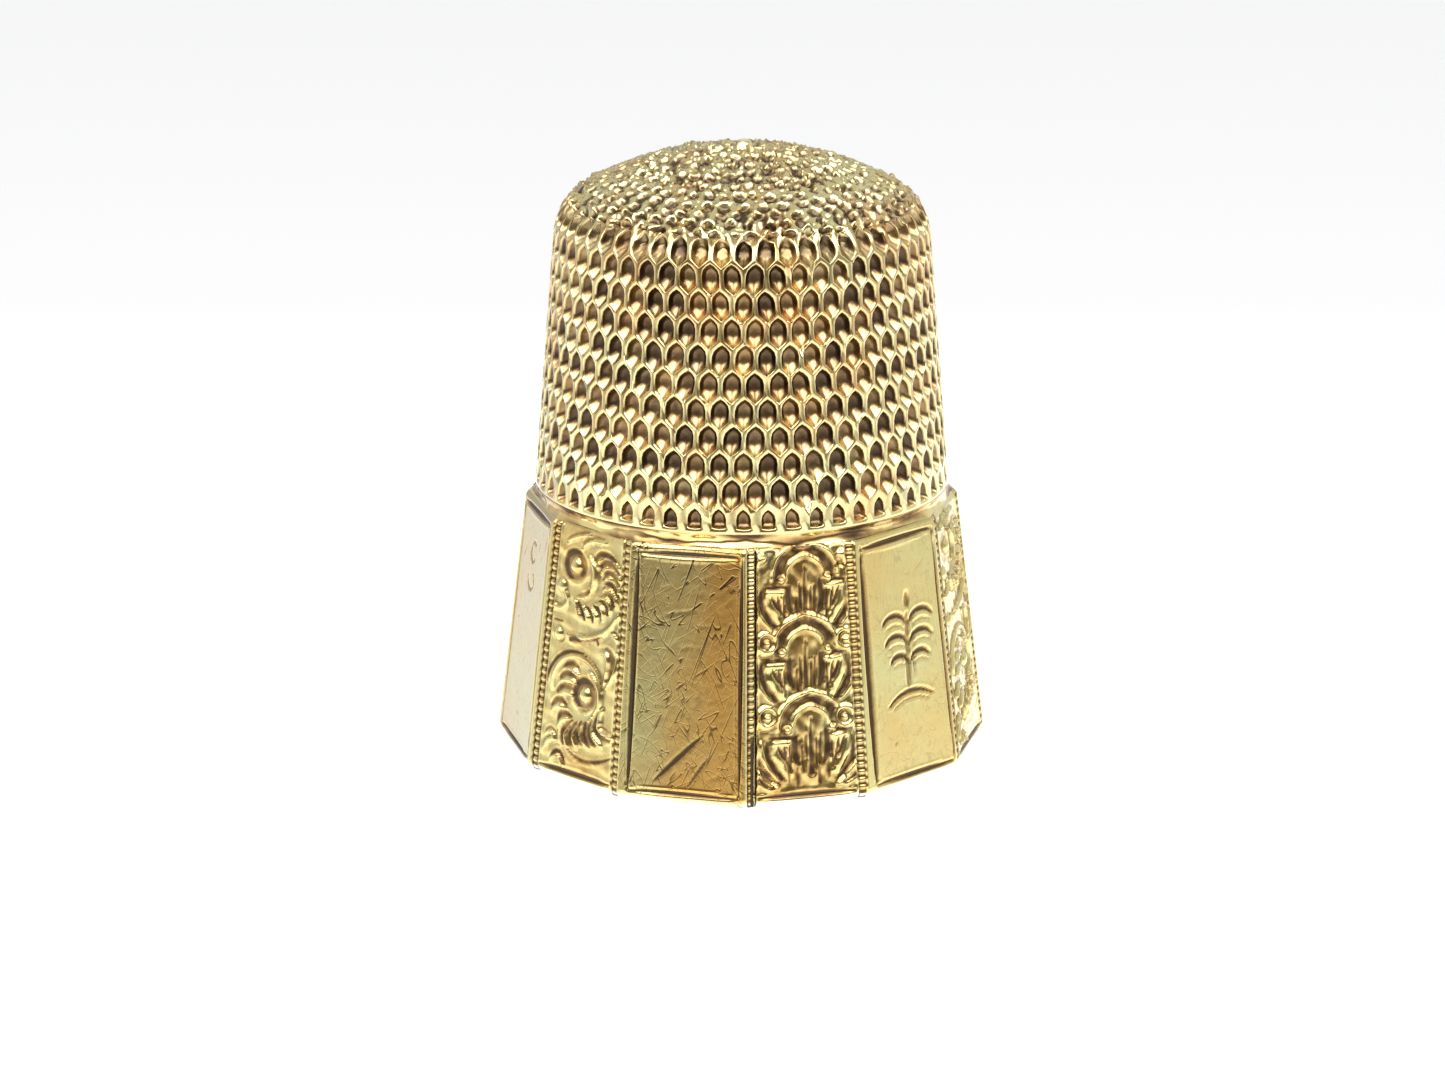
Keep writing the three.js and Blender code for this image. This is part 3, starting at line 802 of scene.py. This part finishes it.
def sprig(relief):
    """An engraved sprig: a twin stem, three pairs of shaded leaves, a bud and a swept base."""
    relief.cut([(0.12, 3.35), (0.20, 4.6), (0.28, 6.2)], 0.15, 0.07, 0.6)
    relief.cut([(0.42, 3.5), (0.50, 4.6), (0.52, 5.9)], 0.06, 0.05, 0.5)
    for side in (-1, 1):
        for y, reach in ((5.65, 0.60), (4.95, 0.56), (4.30, 0.46)):
            leaf = arc((SPRIG_X, y), reach, 175, 15, 9)
            across = SPRIG_X + side * (leaf[:, 0] - SPRIG_X + reach * 1.15)
            relief.cut(np.stack([across, y + 0.75 * (leaf[:, 1] - y)], axis=-1), 0.14, 0.07, 0.95)
            across = SPRIG_X + side * (0.8 * (leaf[:, 0] - SPRIG_X) + reach * 1.15)
            relief.cut(np.stack([across, y - 0.12 + 0.35 * (leaf[:, 1] - y)], axis=-1), 0.06, 0.03, 0.5)
    relief.cut([(0.3, 6.25), (0.34, 6.85)], 0.15, 0.07, 0.6)
    relief.cut(arc((0.25, 1.35), 1.95, 128, 55), 0.12, 0.08, 0.9)
    relief.cut(arc((0.25, 1.10), 1.95, 122, 62), 0.06, 0.04, 0.6)


def curls(relief):
    """Two small engraved curls, one above the other."""
    relief.cut(arc((0.0, 7.3), (0.42, 0.3), 40, 330), 0.07, 0.05, 0.6)
    relief.cut(arc((0.0, 6.35), (0.3, 0.45), 60, -200), 0.07, 0.05, 0.6)


def scratches(relief, count, seed):
    """Fine scratches at all angles, most of them rising to the right."""
    rng = np.random.default_rng(seed)
    half = float(half_width(0)) - 0.5
    for _ in range(count):
        x, y = rng.uniform(-half, half), rng.uniform(0.6, PANEL_H - 0.8)
        angle = math.radians(rng.normal(48, 38))
        length = rng.uniform(0.15, 0.7)
        end = (x + length * math.cos(angle), y + length * math.sin(angle))
        if abs(end[0]) < half and end[1] < PANEL_H - 0.7:
            relief.cut([(x, y), end], rng.uniform(0.05, 0.075), 0.003, rng.uniform(0.25, 0.6), 0)


# Each plain panel's engraved lines: insets of the left and the right line from the panel's edges, each at
# the foot and at the top, and half the width of the line.
PLAIN_LINES = {
    SCRATCHED_PANEL: ((0.34, 0.24, 0.15), (0.20, 0.06, 0.11)),
    SPRIG_PANEL: ((0.42, 0.24, 0.16), (0.08, 0.14, 0.08)),
}
USUAL_LINES = ((0.28, 0.2, 0.12), (0.18, 0.14, 0.10))
LINE_DEPTH = 0.12
TOP_LINE = 0.33  # from the band's top edge to the engraved line below it
FOOT_LINE = 0.33  # from the foot up to the engraved line along it
# The scratched panel's gouges: path, half width, depth and dirt.
GOUGES = (
    (((-0.98, 0.75), (-0.2, 1.55), (0.75, 2.5)), 0.13, 0.006, 1.0),
    (((0.25, 0.65), (0.95, 1.7)), 0.09, 0.005, 0.85),
    (((-0.7, 6.62), (0.4, 6.85)), 0.09, 0.005, 0.7),
)
MANY_SCRATCHES, FEW_SCRATCHES = 38, 8


def half_width(y):
    """Half the width of a panel at height y up its face."""
    corner = FOOT_R + (SHOULDER_R - FOOT_R) * (y / PANEL_H)
    return corner * math.sin(HALF_PANEL)


def plain_panel(relief, azimuth):
    """A polished panel framed by four engraved lines that swell and taper as a graver leaves them."""
    lines = PLAIN_LINES.get(azimuth, USUAL_LINES)
    low, high = 0.35, PANEL_H - 0.25
    if azimuth == SCRATCHED_PANEL:
        scratches(relief, MANY_SCRATCHES, SEED + 20)
        for path, width, depth, dirt in GOUGES:
            relief.cut(path, width, depth, dirt, 0)
    else:
        scratches(relief, FEW_SCRATCHES, SEED + 20 + azimuth)
    if azimuth == SPRIG_PANEL:
        sprig(relief)
    elif azimuth == CURLS_PANEL:
        curls(relief)
    for side, (foot, top, width) in zip((-1, 1), lines):
        heights = np.linspace(low, high, 7)
        inset = foot + (top - foot) * heights / PANEL_H
        path = np.stack([side * (half_width(heights) - inset), heights], axis=-1)
        relief.cut(path, width, LINE_DEPTH)
    for y, width, tilt in ((PANEL_H - TOP_LINE, 0.14, 0.03), (FOOT_LINE, 0.12, -0.02)):
        share = y / PANEL_H
        left = -half_width(y) + lines[0][0] + (lines[0][1] - lines[0][0]) * share
        right = half_width(y) - lines[1][0] - (lines[1][1] - lines[1][0]) * share
        relief.cut([(left, y - tilt), (0.5 * (left + right), y), (right, y + tilt)], width, LINE_DEPTH)


def beading(relief, left, right):
    """A line of beads along each edge of an ornamented panel, in a shallow track."""
    for side, inset in ((-1, left), (1, right)):
        middle = side * (half_width(relief.y) - inset)
        q = np.abs(relief.x - middle) / TRACK_HALF
        track = q < 1
        bead = np.sqrt(np.clip(1 - q**2, 0, 1)) * np.abs(np.sin(math.pi * relief.y / BEAD_PITCH)) ** 0.8
        relief.h = np.where(track, BEAD_HEIGHT * (bead - 1), relief.h)
        relief.tarnish = np.where(track, np.clip(1.25 - 1.20 * bead, 0, 1), relief.tarnish)


def is_ornamented(azimuth):
    """Every second panel, starting with the one on the right of the front corner."""
    return (azimuth - FIRST_PANEL) % (2 * PANEL_TURN) == 0


def is_floral(azimuth):
    """Every second ornamented panel has palmettes, and the others have scrolls."""
    return (azimuth - FIRST_PANEL) % (4 * PANEL_TURN) == 0


def ornament_panel(relief, azimuth):
    """An ornamented panel: beading at both sides, a sunk ground, and scrolls or palmettes on it."""
    left, right = TRACK_INSETS
    field_left = -half_width(relief.y) + left + TRACK_HALF + FIELD_GAP
    field_right = half_width(relief.y) - right - TRACK_HALF - FIELD_GAP
    floral = is_floral(azimuth)
    sunk = FLORAL_SUNK if floral else SCROLL_SUNK
    relief.sink(field_left, field_right, FOOT_LINE + 0.08, PANEL_H + 1, sunk)
    if floral:
        floral_panel(relief)
        relief.unevenness(0.014, 0.20, 0.55, SEED + 40 + azimuth)
    else:
        scroll_panel(relief)
        relief.unevenness(0.008, 0.16, 0.50, SEED + 40 + azimuth)
    inside = plateau(field_left - 0.02, field_right + 0.02, 0.08, relief.x)
    inside = inside * smooth(FOOT_LINE + 0.06, FOOT_LINE + 0.14, relief.y)
    relief.h = relief.h * inside
    # Painted light: a panel at the side keeps only its share of tarnish, so that it looks washed by the
    # bright side light.
    relief.tarnish = relief.tarnish * inside * PAINTED_LIGHT_TARNISH_SHARE.get(azimuth, 1.0)
    beading(relief, left, right)
    ends = (-half_width(0) + 0.5, half_width(0) - 0.45)
    relief.cut([(ends[0], FOOT_LINE), (ends[1], FOOT_LINE)], 0.15, 0.12)


# ---- the band ----
def on_panel(azimuth, x, y, lift):
    """Points on the panel at that azimuth (degrees): x across it, y up it, lift off its face."""
    turn = math.radians(azimuth)
    out = np.array([math.sin(turn), -math.cos(turn), 0])
    across = np.array([math.cos(turn), math.sin(turn), 0])
    up = np.array([0, 0, math.cos(LEAN)]) - out * math.sin(LEAN)
    normal = out * math.cos(LEAN) + np.array([0, 0, math.sin(LEAN)])
    x, y, lift = np.broadcast_arrays(x, y, lift)
    face = out * FOOT_R * math.cos(HALF_PANEL)
    return face + x[..., None] * across + y[..., None] * up + lift[..., None] * normal


def panel_rows():
    """Heights up a panel's face of the mesh's rows."""
    beads = round(PANEL_H / BEAD_PITCH)
    return np.linspace(0, PANEL_H, beads * BEAD_ROWS + 1)


def panel_columns(azimuth):
    """Where the mesh's columns stand: distances in from an edge, and shares of the space between."""
    edge = [0, 0.05, 0.10, 0.14, 0.19, 0.24, 0.29, 0.34, 0.39, 0.44, 0.49]
    behind = 100 < azimuth < 260  # the panels at the back have a coarser mesh
    if is_ornamented(azimuth):
        steps = 36 if behind else 60
    else:
        steps = 16 if behind else 42
    return edge, np.arange(1, steps) / steps


def panel_grid(azimuth):
    """Points, tarnish, warmth and scoring of a panel's face, up to just short of its right edge."""
    edge, middle = panel_columns(azimuth)
    rows = panel_rows()
    half = half_width(rows)[:, None]
    left = -half + np.array(edge)
    right = half - np.array(edge[:0:-1])
    between = left[:, -1:] + (right[:, :1] - left[:, -1:]) * middle
    x = np.concatenate([left, between, right], axis=1)
    y = np.broadcast_to(rows[:, None], x.shape)
    relief = Relief(x, y)
    if is_ornamented(azimuth):
        ornament_panel(relief, azimuth)
    else:
        plain_panel(relief, azimuth)
    h = relief.h * smooth(0, 0.06, half - np.abs(x))
    points = on_panel(azimuth, x, y, h)
    if azimuth == SCRATCHED_PANEL:
        # Painted reflection, partly warm toning: the scratched panel grows warmer towards its right side,
        # standing in for the brown-orange it reflects there.
        warmth_and_sheen = 0.25 + 0.75 * smooth(-1.6, 1.2, x - 0.22 * (y - 4)) + 0.15 * ripple(points, 2.2, SEED + 30)
        scored = 0.9 + 0.6 * smooth(3.0, 8.0, y)
        film = 0.24 * smooth(2.0, 9.0, y - 0.8 * x)
    else:
        warmth_and_sheen = 0.16 + 0.16 * ripple(points, 4.0, SEED + 31) + 1.1 * relief.tarnish
        scored = np.full(x.shape, 0.25)
        film = 0
    warmth_and_sheen = warmth_and_sheen - 1.3 * (1 - smooth(0.14, 0.24, y))  # painted highlight: the lip at the foot is whitened, standing in for its reflection of the bright table
    tarnish = np.maximum(0.6 * cavity(h), np.maximum(relief.tarnish, film))
    return points, tarnish, warmth_and_sheen, scored


def cavity(h):
    """Tarnish that gathers where the surface lies below what is round it."""
    around = h
    for _ in range(3):
        padded = np.pad(around, 2, mode="edge")
        around = sum(padded[i : i + h.shape[0], 2:-2] for i in range(5)) / 5
        padded = np.pad(around, 2, mode="edge")
        around = sum(padded[2:-2, i : i + h.shape[1]] for i in range(5)) / 5
    return np.clip((around - h) / 0.035, 0, 1)


def shell_faces(rows, columns, closed):
    """Faces of a tube whose section has that many rows, closed in a ring or capped at its ends."""
    faces = []
    last = columns if closed else columns - 1
    for r in range(rows):
        s = (r + 1) % rows
        for c in range(last):
            d = (c + 1) % columns
            faces.append((r * columns + c, r * columns + d, s * columns + d, s * columns + c))
    if not closed:
        faces.append([r * columns for r in range(rows)])
        faces.append([r * columns + last for r in reversed(range(rows))])
    return faces


def tube_piece(name, section, closed, material, slot, replaced, **attributes):
    """A piece from a grid of points: its section along the first axis, and round the thimble the second."""
    faces = shell_faces(section.shape[0], section.shape[1], closed)
    flat = {key: np.asarray(values).ravel() for key, values in attributes.items()}
    return make_piece(name, section.reshape(-1, 3), faces, material, slot, replaced, **flat)


def bore_radius(z):
    """Radius of the band's bore, just clear of the skirt."""
    return SKIRT_R + SKIRT_TAPER * (SKIRT_TOP - z) + BAND_BORE_GAP


def band_back(front, rows, gap=0):
    """Rows of points on the bore, or gap outside it, behind those rows of a face's points."""
    turn = np.arctan2(front[..., 0], -front[..., 1])
    return np.stack([on_circle(bore_radius(front[r, :, 2]) + gap, turn[r], front[r, :, 2]) for r in rows])


FOOT_WEAR, FOOT_WEAR_H = 0.16, 0.26  # how far in the band's foot edge is worn, and over what height
TOP_WEAR, TOP_WEAR_H = 0.10, 0.2


def rounded_edges(points):
    """The face's top and foot rows drawn in a little, so that the band has worn edges."""
    radius = np.hypot(points[..., 0], points[..., 1])
    from_foot = points[..., 2]
    from_top = BAND_H - points[..., 2]
    draw = FOOT_WEAR * np.clip(1 - from_foot / FOOT_WEAR_H, 0, 1) ** 1.5
    draw += TOP_WEAR * np.clip(1 - from_top / TOP_WEAR_H, 0, 1) ** 2
    share = (radius - draw) / radius
    points[..., 0] *= share
    points[..., 1] *= share
    return points


def band_piece(material):
    """The applied band, from the right side of its butt joint round to the joint's left side."""
    strips = [panel_grid(FIRST_PANEL + PANEL_TURN * k) for k in range(PANELS)]
    points, tarnish, warmth_and_sheen, scored = (np.concatenate(part, axis=1) for part in zip(*strips))
    points = rounded_edges(points)
    points[..., 2] = np.clip(points[..., 2], 0, BAND_H)
    foot_x = points[0, : strips[0][1].shape[1], 0]  # x of the first panel's columns, along the foot
    joint_right = int(np.argmin(np.abs(foot_x - JOINT_HIGH.x / MM)))
    joint_left = int(np.argmin(np.abs(foot_x - JOINT_LOW.x / MM)))
    order = list(range(joint_right, points.shape[1])) + list(range(joint_left + 1))
    points, tarnish, warmth_and_sheen, scored = (part[:, order] for part in (points, tarnish, warmth_and_sheen, scored))
    back = band_back(points, (-1, len(points) // 2, 0))
    plain_back = np.full(back.shape[:2], 0.3)
    looks = {"tarnish": tarnish, "warmth_and_sheen": warmth_and_sheen, "scored": scored}
    looks = {key: np.concatenate([values, plain_back]) for key, values in looks.items()}
    section = np.concatenate([points, back])
    return tube_piece("band", section, False, material, "band_gold", "panel_band", **looks)


# ---- the solder ----
OPEN_TO = 2.7  # the butt joint has opened from the foot up to here
OPEN_DEPTH = 0.16


def joint_piece(material):
    """The sliver in the butt joint: beaded like its neighbours above, sunk and dark where it has opened."""
    rows = panel_rows()[:, None]
    half = half_width(rows)
    low, high = JOINT_LOW.x / MM + 0.01, JOINT_HIGH.x / MM - 0.01
    x = -half + np.linspace(low, high, 7)
    relief = Relief(x, np.broadcast_to(rows, x.shape))
    beading(relief, *TRACK_INSETS)
    opened = 1 - smooth(OPEN_TO - 0.4, OPEN_TO, relief.y)
    h = relief.h * (1 - opened) - OPEN_DEPTH * opened
    front = on_panel(FIRST_PANEL, x, relief.y, h)
    front[..., 2] = np.clip(front[..., 2], 0, BAND_H)
    back = band_back(front, (-1, 0), 0.02)
    tone = np.concatenate([np.clip(0.3 + cavity(h) + opened, 0, 1), np.full(back.shape[:2], 0.8)])
    section = np.concatenate([front, back])
    return tube_piece("joint_fill", section, False, material, "solder_gold", "joint_solder", tarnish=tone)


def panelled_radius(azimuth, corner_r):
    """Radius of a twelve-sided outline at an azimuth in radians."""
    from_middle = (azimuth % (2 * HALF_PANEL)) - HALF_PANEL
    return corner_r * math.cos(HALF_PANEL) / np.cos(from_middle)


COVE_COLUMNS = 360
COVE_HOLLOW = 0.11
STREAK_STRETCH = (1, 1, 5)  # squeezes the cove's toning into streaks that run round it


def cove_piece(material):
    """The cove between the band's top edge and the knurling: twelve-sided below and round above."""
    azimuth = azimuths_round(COVE_COLUMNS)
    low_z = BAND_H - 0.10
    neck_r = side_radius(NECK_TOP)
    low_r = panelled_radius(azimuth, SHOULDER_R) - 0.07
    section, tone, warmth_and_sheen = [], [], []
    for share in np.linspace(0, 1, 12):
        z = low_z + (NECK_TOP - 0.01 - low_z) * share
        straight = low_r + (neck_r - low_r) * smooth(0, 1, share**0.8)
        hollow = COVE_HOLLOW * math.sin(math.pi * share) ** 1.2
        ring = on_circle(straight - hollow, azimuth, z)
        wave = 0.05 * ripple(ring, 2.2, SEED + 5) + 0.03 * ripple(ring, 0.8, SEED + 15)
        wave *= math.sin(math.pi * share)
        section.append(on_circle(straight - hollow + wave, azimuth, z))
        streaks = ripple(ring * STREAK_STRETCH, 2.6, SEED + 16)
        # Partly painted shade: the cove's tarnish and warmth grow towards the knurling, where it meets the
        # wall, besides the tarnish streaks that run round it.
        tone.append(np.clip((0.48 + 0.35 * share) * (0.55 + 0.8 * streaks), 0, 1))
        warmth_and_sheen.append(np.clip(0.35 + 0.3 * share + 0.6 * streaks, 0, 1))
    skirt_r = SKIRT_R + 0.05
    for radius, z in ((neck_r - 0.12, NECK_TOP - 0.02), (skirt_r, BAND_H + 0.08), (skirt_r, low_z)):
        section.append(on_circle(radius, azimuth, z))
        tone.append(np.full(COVE_COLUMNS, 0.3))
        warmth_and_sheen.append(np.full(COVE_COLUMNS, 0.3))
    looks = {"tarnish": tone, "warmth_and_sheen": warmth_and_sheen}
    return tube_piece(
        "cove_fillet", np.array(section), True, material, "solder_gold", "shoulder_solder", **looks
    )


def foot_fillet_piece(material):
    """The fillet of solder inside the foot, between the skirt's edge and the band."""
    azimuth = azimuths_round(180)
    low, high = FOOT_SOLDER_LOW.z / MM, FOOT_SOLDER_HIGH.z / MM
    outer_r = bore_radius(0) - 0.05
    section = [on_circle(outer_r, azimuth, z) for z in (low, high)]
    for share in np.linspace(1, 0, 6):
        z = low + (high - low) * share
        radius = outer_r - 0.1 - 0.14 * share + 0.05 * math.sin(math.pi * share)
        wave = 0.012 * ripple(on_circle(radius, azimuth, z), 2.4, SEED + 6)
        section.append(on_circle(radius + wave, azimuth, z))
    section = np.array(section)
    tone = np.full(section.shape[:2], 0.35)
    return tube_piece("foot_fillet", section, True, material, "solder_gold", "foot_solder", tarnish=tone)


# ---- materials ----
def new_material(name, values):
    """A material with those values on its shader. Returns its node tree and its shader too."""
    material = bpy.data.materials.new(name)
    material.use_nodes = True
    tree = material.node_tree
    shader = tree.nodes["Principled BSDF"]
    for key, value in values.items():
        shader.inputs[key].default_value = value
    return material, tree, shader


def node(tree, kind, **settings):
    made = tree.nodes.new(kind)
    for key, value in settings.items():
        setattr(made, key, value)
    return made


def ramp(tree, source, stops):
    """A colour ramp with (position, grey or colour) stops."""
    made = tree.nodes.new("ShaderNodeValToRGB")
    elements = made.color_ramp.elements
    while len(elements) < len(stops):
        elements.new(0.5)
    for element, (position, colour) in zip(elements, stops):
        element.position = position
        rgb = (colour,) * 3 if isinstance(colour, (int, float)) else colour
        element.color = (*rgb, 1)
    tree.links.new(source, made.inputs["Fac"])
    return made.outputs["Color"]


def noise(tree, scale, detail=3.0, drawn_out=1, turn=0):
    """Noise in the object's own space, drawn out along a line turned from upright in the front view."""
    place = tree.nodes.new("ShaderNodeTexCoord")
    mapping = node(tree, "ShaderNodeMapping", vector_type="TEXTURE")
    mapping.inputs["Scale"].default_value = (1, 1, drawn_out)
    mapping.inputs["Rotation"].default_value = (0, math.radians(turn), 0)
    tree.links.new(place.outputs["Object"], mapping.inputs["Vector"])
    texture = tree.nodes.new("ShaderNodeTexNoise")
    texture.inputs["Scale"].default_value = scale
    texture.inputs["Detail"].default_value = detail
    tree.links.new(mapping.outputs["Vector"], texture.inputs["Vector"])
    return texture.outputs["Fac"]


def mix(tree, factor, a, b):
    """A colour mix; factor, a and b are sockets or values."""
    made = node(tree, "ShaderNodeMix", data_type="RGBA")
    for socket, value in ((made.inputs[0], factor), (made.inputs[6], a), (made.inputs[7], b)):
        if isinstance(value, bpy.types.NodeSocket):
            tree.links.new(value, socket)
        else:
            socket.default_value = value if isinstance(value, float) else (*value, 1)
    return made.outputs[2]


def calculate(tree, operation, *values):
    """A sum or the like; the values are sockets or numbers."""
    made = node(tree, "ShaderNodeMath", operation=operation)
    for socket, value in zip(made.inputs, values):
        if isinstance(value, bpy.types.NodeSocket):
            tree.links.new(value, socket)
        else:
            socket.default_value = value
    return made.outputs["Value"]


def times(tree, a, b):
    return calculate(tree, "MULTIPLY", a, b)


def scaled(tree, value, share, offset):
    """value times share, and offset added."""
    return calculate(tree, "MULTIPLY_ADD", value, share, offset)


def axes(tree, space):
    """X, Y and Z in that one of Blender's texture spaces."""
    place = tree.nodes.new("ShaderNodeTexCoord")
    split = tree.nodes.new("ShaderNodeSeparateXYZ")
    tree.links.new(place.outputs[space], split.inputs["Vector"])
    return [split.outputs[axis] for axis in "XYZ"]


def attribute(tree, name):
    """A number that the mesh holds for each point."""
    return node(tree, "ShaderNodeAttribute", attribute_name=name).outputs["Fac"]


WHOLE = [(0.0, 0.0), (1.0, 1.0)]  # a ramp that only keeps its source between 0 and 1
# The brown of tarnish, which also colours the painted shade that the tarnish attribute carries in a few
# places.
TARNISH_AND_SHADE_BROWN = (0.075, 0.047, 0.027)
PAINTED_HIGHLIGHT_PALE = (0.96, 0.88, 0.82)  # painted highlight: the pale pinkish white that gold is mixed towards where its warmth is below 0
SCRATCH_ANGLES = (-58, -25, 20, 52)  # degrees from upright of the sets of fine scratches
PATCH_SCALE = 420  # scales of the noise in the gold: patches of toning,
SPECKLE_SCALE = 4200  # specks in the tarnish,
GRAIN_SCALE = 1500  # uneven polish,
BUMP_SCALE = 2600  # unevenness of the surface itself,
SCRATCH_SCALE = 3200  # and scratches, before they are drawn out


def scratch_lines(tree):
    """Fine broken scratches in a few directions: their strength, where the mesh says that it is scored."""
    worn = None
    for angle in SCRATCH_ANGLES:
        streak = noise(tree, SCRATCH_SCALE, 0.0, drawn_out=34, turn=angle)
        off_line = calculate(tree, "ABSOLUTE", calculate(tree, "SUBTRACT", streak, 0.5))
        line = ramp(tree, off_line, [(0.0, 1.0), (0.022, 0.0)])
        broken = ramp(tree, noise(tree, 1100 + 13 * angle, 1.0), [(0.46, 0.0), (0.52, 1.0)])
        line = times(tree, line, broken)
        worn = line if worn is None else calculate(tree, "MAXIMUM", worn, line)
    return times(tree, worn, attribute(tree, "scored"))


def gold(name, bright, warm, roughness, scratches):
    """Worn gold: brown where the mesh's tarnish attribute says, which is real tarnish and in places painted
    shade; warm toning; a painted highlight, pale pinkish white, where the mesh's warmth is below 0; and fine
    scratches.
    """
    values = {"Metallic": 1.0, "Coat Weight": 0.15, "Coat Roughness": 0.08}
    material, tree, shader = new_material(name, values)
    warmth_and_sheen = attribute(tree, "warmth_and_sheen")
    patches = scaled(tree, noise(tree, PATCH_SCALE), 0.9, -0.45)
    toning = ramp(tree, calculate(tree, "ADD", patches, warmth_and_sheen), WHOLE)
    # Painted highlight: where the warmth attribute is below 0 the gold is whitened.
    painted_highlight = ramp(tree, times(tree, warmth_and_sheen, -1.0), WHOLE)
    base = mix(tree, painted_highlight, mix(tree, toning, bright, warm), PAINTED_HIGHLIGHT_PALE)

    speckle = scaled(tree, noise(tree, SPECKLE_SCALE, 4.0), 0.4, -0.2)
    # The mesh's tarnish attribute: real tarnish in hollows, and in a few places painted shade.
    amount = calculate(tree, "ADD", attribute(tree, "tarnish"), speckle)
    amount = times(tree, ramp(tree, amount, [(0.18, 0.0), (0.90, 1.0)]), 0.96)
    worn = scratch_lines(tree)
    dark = calculate(tree, "MAXIMUM", amount, times(tree, worn, scratches))
    tree.links.new(mix(tree, dark, base, TARNISH_AND_SHADE_BROWN), shader.inputs["Base Color"])

    grain = scaled(tree, noise(tree, GRAIN_SCALE, 4.0), 0.12, roughness - 0.06)
    tree.links.new(scaled(tree, amount, 0.22, grain), shader.inputs["Roughness"])
    bump = node(tree, "ShaderNodeBump")
    bump.inputs["Strength"].default_value = 0.4
    bump.inputs["Distance"].default_value = 0.008 * MM
    height = scaled(tree, worn, -0.9, noise(tree, BUMP_SCALE, 6.0))
    tree.links.new(height, bump.inputs["Height"])
    tree.links.new(bump.outputs["Normal"], shader.inputs["Normal"])
    return material


# ---- stage, light and camera ----
# Greys of the table by distance behind the thimble: painted shade, so that it renders white near the thimble
# and a little greyer towards the far edge, as if the light fell off.
TABLE_SHADE_GREYS = [
    (0.06, 0.9),
    (0.13, 0.56),
    (0.162, 0.531),
    (0.249, (0.508, 0.514, 0.511)),
    (0.36, (0.495, 0.501, 0.498)),
]
TABLE_REACH = 0.4  # metres behind the thimble at which a grey's position would be 1


def make_floor():
    """A white table whose colour greys far behind: painted shade for the light falling off with distance."""
    bpy.ops.mesh.primitive_plane_add(size=4)
    floor = bpy.context.object
    floor.name = "floor"
    material, tree, shader = new_material("floor_white", {"Roughness": 0.9, "Specular IOR Level": 0})
    far = times(tree, axes(tree, "Object")[1], 1 / TABLE_REACH)
    tree.links.new(ramp(tree, far, TABLE_SHADE_GREYS), shader.inputs["Base Color"])
    floor.data.materials.append(material)
    floor.visible_glossy = False


# Brightness and colour of the room's parts, where its white walls are 1.
TABLE = 1.9
WINDOW = 5.6
VIEWER_SIDE = (0.20, 0.16, 0.11)
FAR_LEFT = (0.58, 0.58, 0.66)
CEILING = (0.75, 0.75, 0.75)
WHITE = (1.0, 1.0, 1.0)


def make_world():
    """A white room with a bright window high in front, dim behind the viewer, and greyer far left."""
    world = bpy.data.worlds.new("room")
    bpy.context.scene.world = world
    world.use_nodes = True
    tree = world.node_tree
    background = tree.nodes["Background"]
    x, y, z = axes(tree, "Generated")
    level = calculate(tree, "SQRT", scaled(tree, times(tree, z, z), -1.0, 1.0001))  # never quite 0
    frontness = calculate(tree, "DIVIDE", times(tree, y, -1.0), level)
    half_z = scaled(tree, z, 0.5, 0.5)

    near_front = ramp(tree, frontness, [(0.05, 0.0), (0.65, 0.8), (0.9, 1.0)])
    low_band = ramp(tree, half_z, [(0.438, 0.0), (0.455, 0.72), (0.480, 1.0), (0.68, 1.0), (0.76, 0.0)])
    colour = mix(tree, times(tree, near_front, low_band), WHITE, VIEWER_SIDE)
    left = ramp(tree, times(tree, x, -1.0), [(0.15, 0.0), (0.45, 1.0)])
    far = ramp(tree, times(tree, frontness, -1.0), [(0.4, 0.0), (0.8, 1.0)])
    colour = mix(tree, times(tree, left, far), colour, FAR_LEFT)
    high = ramp(tree, half_z, [(0.74, 0.0), (0.80, 1.0)])
    colour = mix(tree, high, colour, CEILING)
    window_side = ramp(tree, scaled(tree, y, -0.5, 0.5), [(0.53, 0.0), (0.68, 1.0)])
    window = times(tree, window_side, ramp(tree, half_z, [(0.76, 0.0), (0.80, 1.0)]))
    colour = mix(tree, window, colour, WHITE)
    table = ramp(tree, half_z, [(0.0, TABLE - 1.0), (0.38, TABLE - 1.0), (0.43, 0.0)])
    strength = scaled(tree, window, WINDOW - 1.0, calculate(tree, "ADD", table, 1.0))
    tree.links.new(colour, background.inputs["Color"])
    tree.links.new(strength, background.inputs["Strength"])


def make_camera():
    """The viewer's place: straight on to the front corner, a little above the crown."""
    aim = (-0.687, 0.0, 7.05)
    distance = 180.4
    elevation = math.radians(16.54)
    azimuth = math.radians(-0.316)
    data = bpy.data.cameras.new("camera")
    data.sensor_width = 36
    data.lens = 125.2
    data.clip_start = 0.005
    camera = bpy.data.objects.new("camera", data)
    bpy.context.scene.collection.objects.link(camera)
    level = distance * math.cos(elevation)
    camera.location = (
        (aim[0] + level * math.sin(azimuth)) * MM,
        (aim[1] - level * math.cos(azimuth)) * MM,
        (aim[2] + distance * math.sin(elevation)) * MM,
    )
    camera.rotation_euler = (math.pi / 2 - elevation, 0, azimuth)
    bpy.context.scene.camera = camera


make_camera()
make_floor()
make_world()
bpy.context.scene.view_settings.view_transform = "Standard"

cup_gold = gold("cup_gold", (0.72, 0.655, 0.33), (0.68, 0.42, 0.17), roughness=0.16, scratches=0.10)
band_gold = gold("band_gold", (0.66, 0.595, 0.265), (0.70, 0.41, 0.11), roughness=0.16, scratches=0.8)
solder_gold = gold("solder_gold", (0.76, 0.62, 0.27), (0.72, 0.42, 0.15), roughness=0.14, scratches=0.08)
cup_piece(cup_gold)
band_piece(band_gold)
cove_piece(solder_gold)
foot_fillet_piece(solder_gold)
joint_piece(solder_gold)
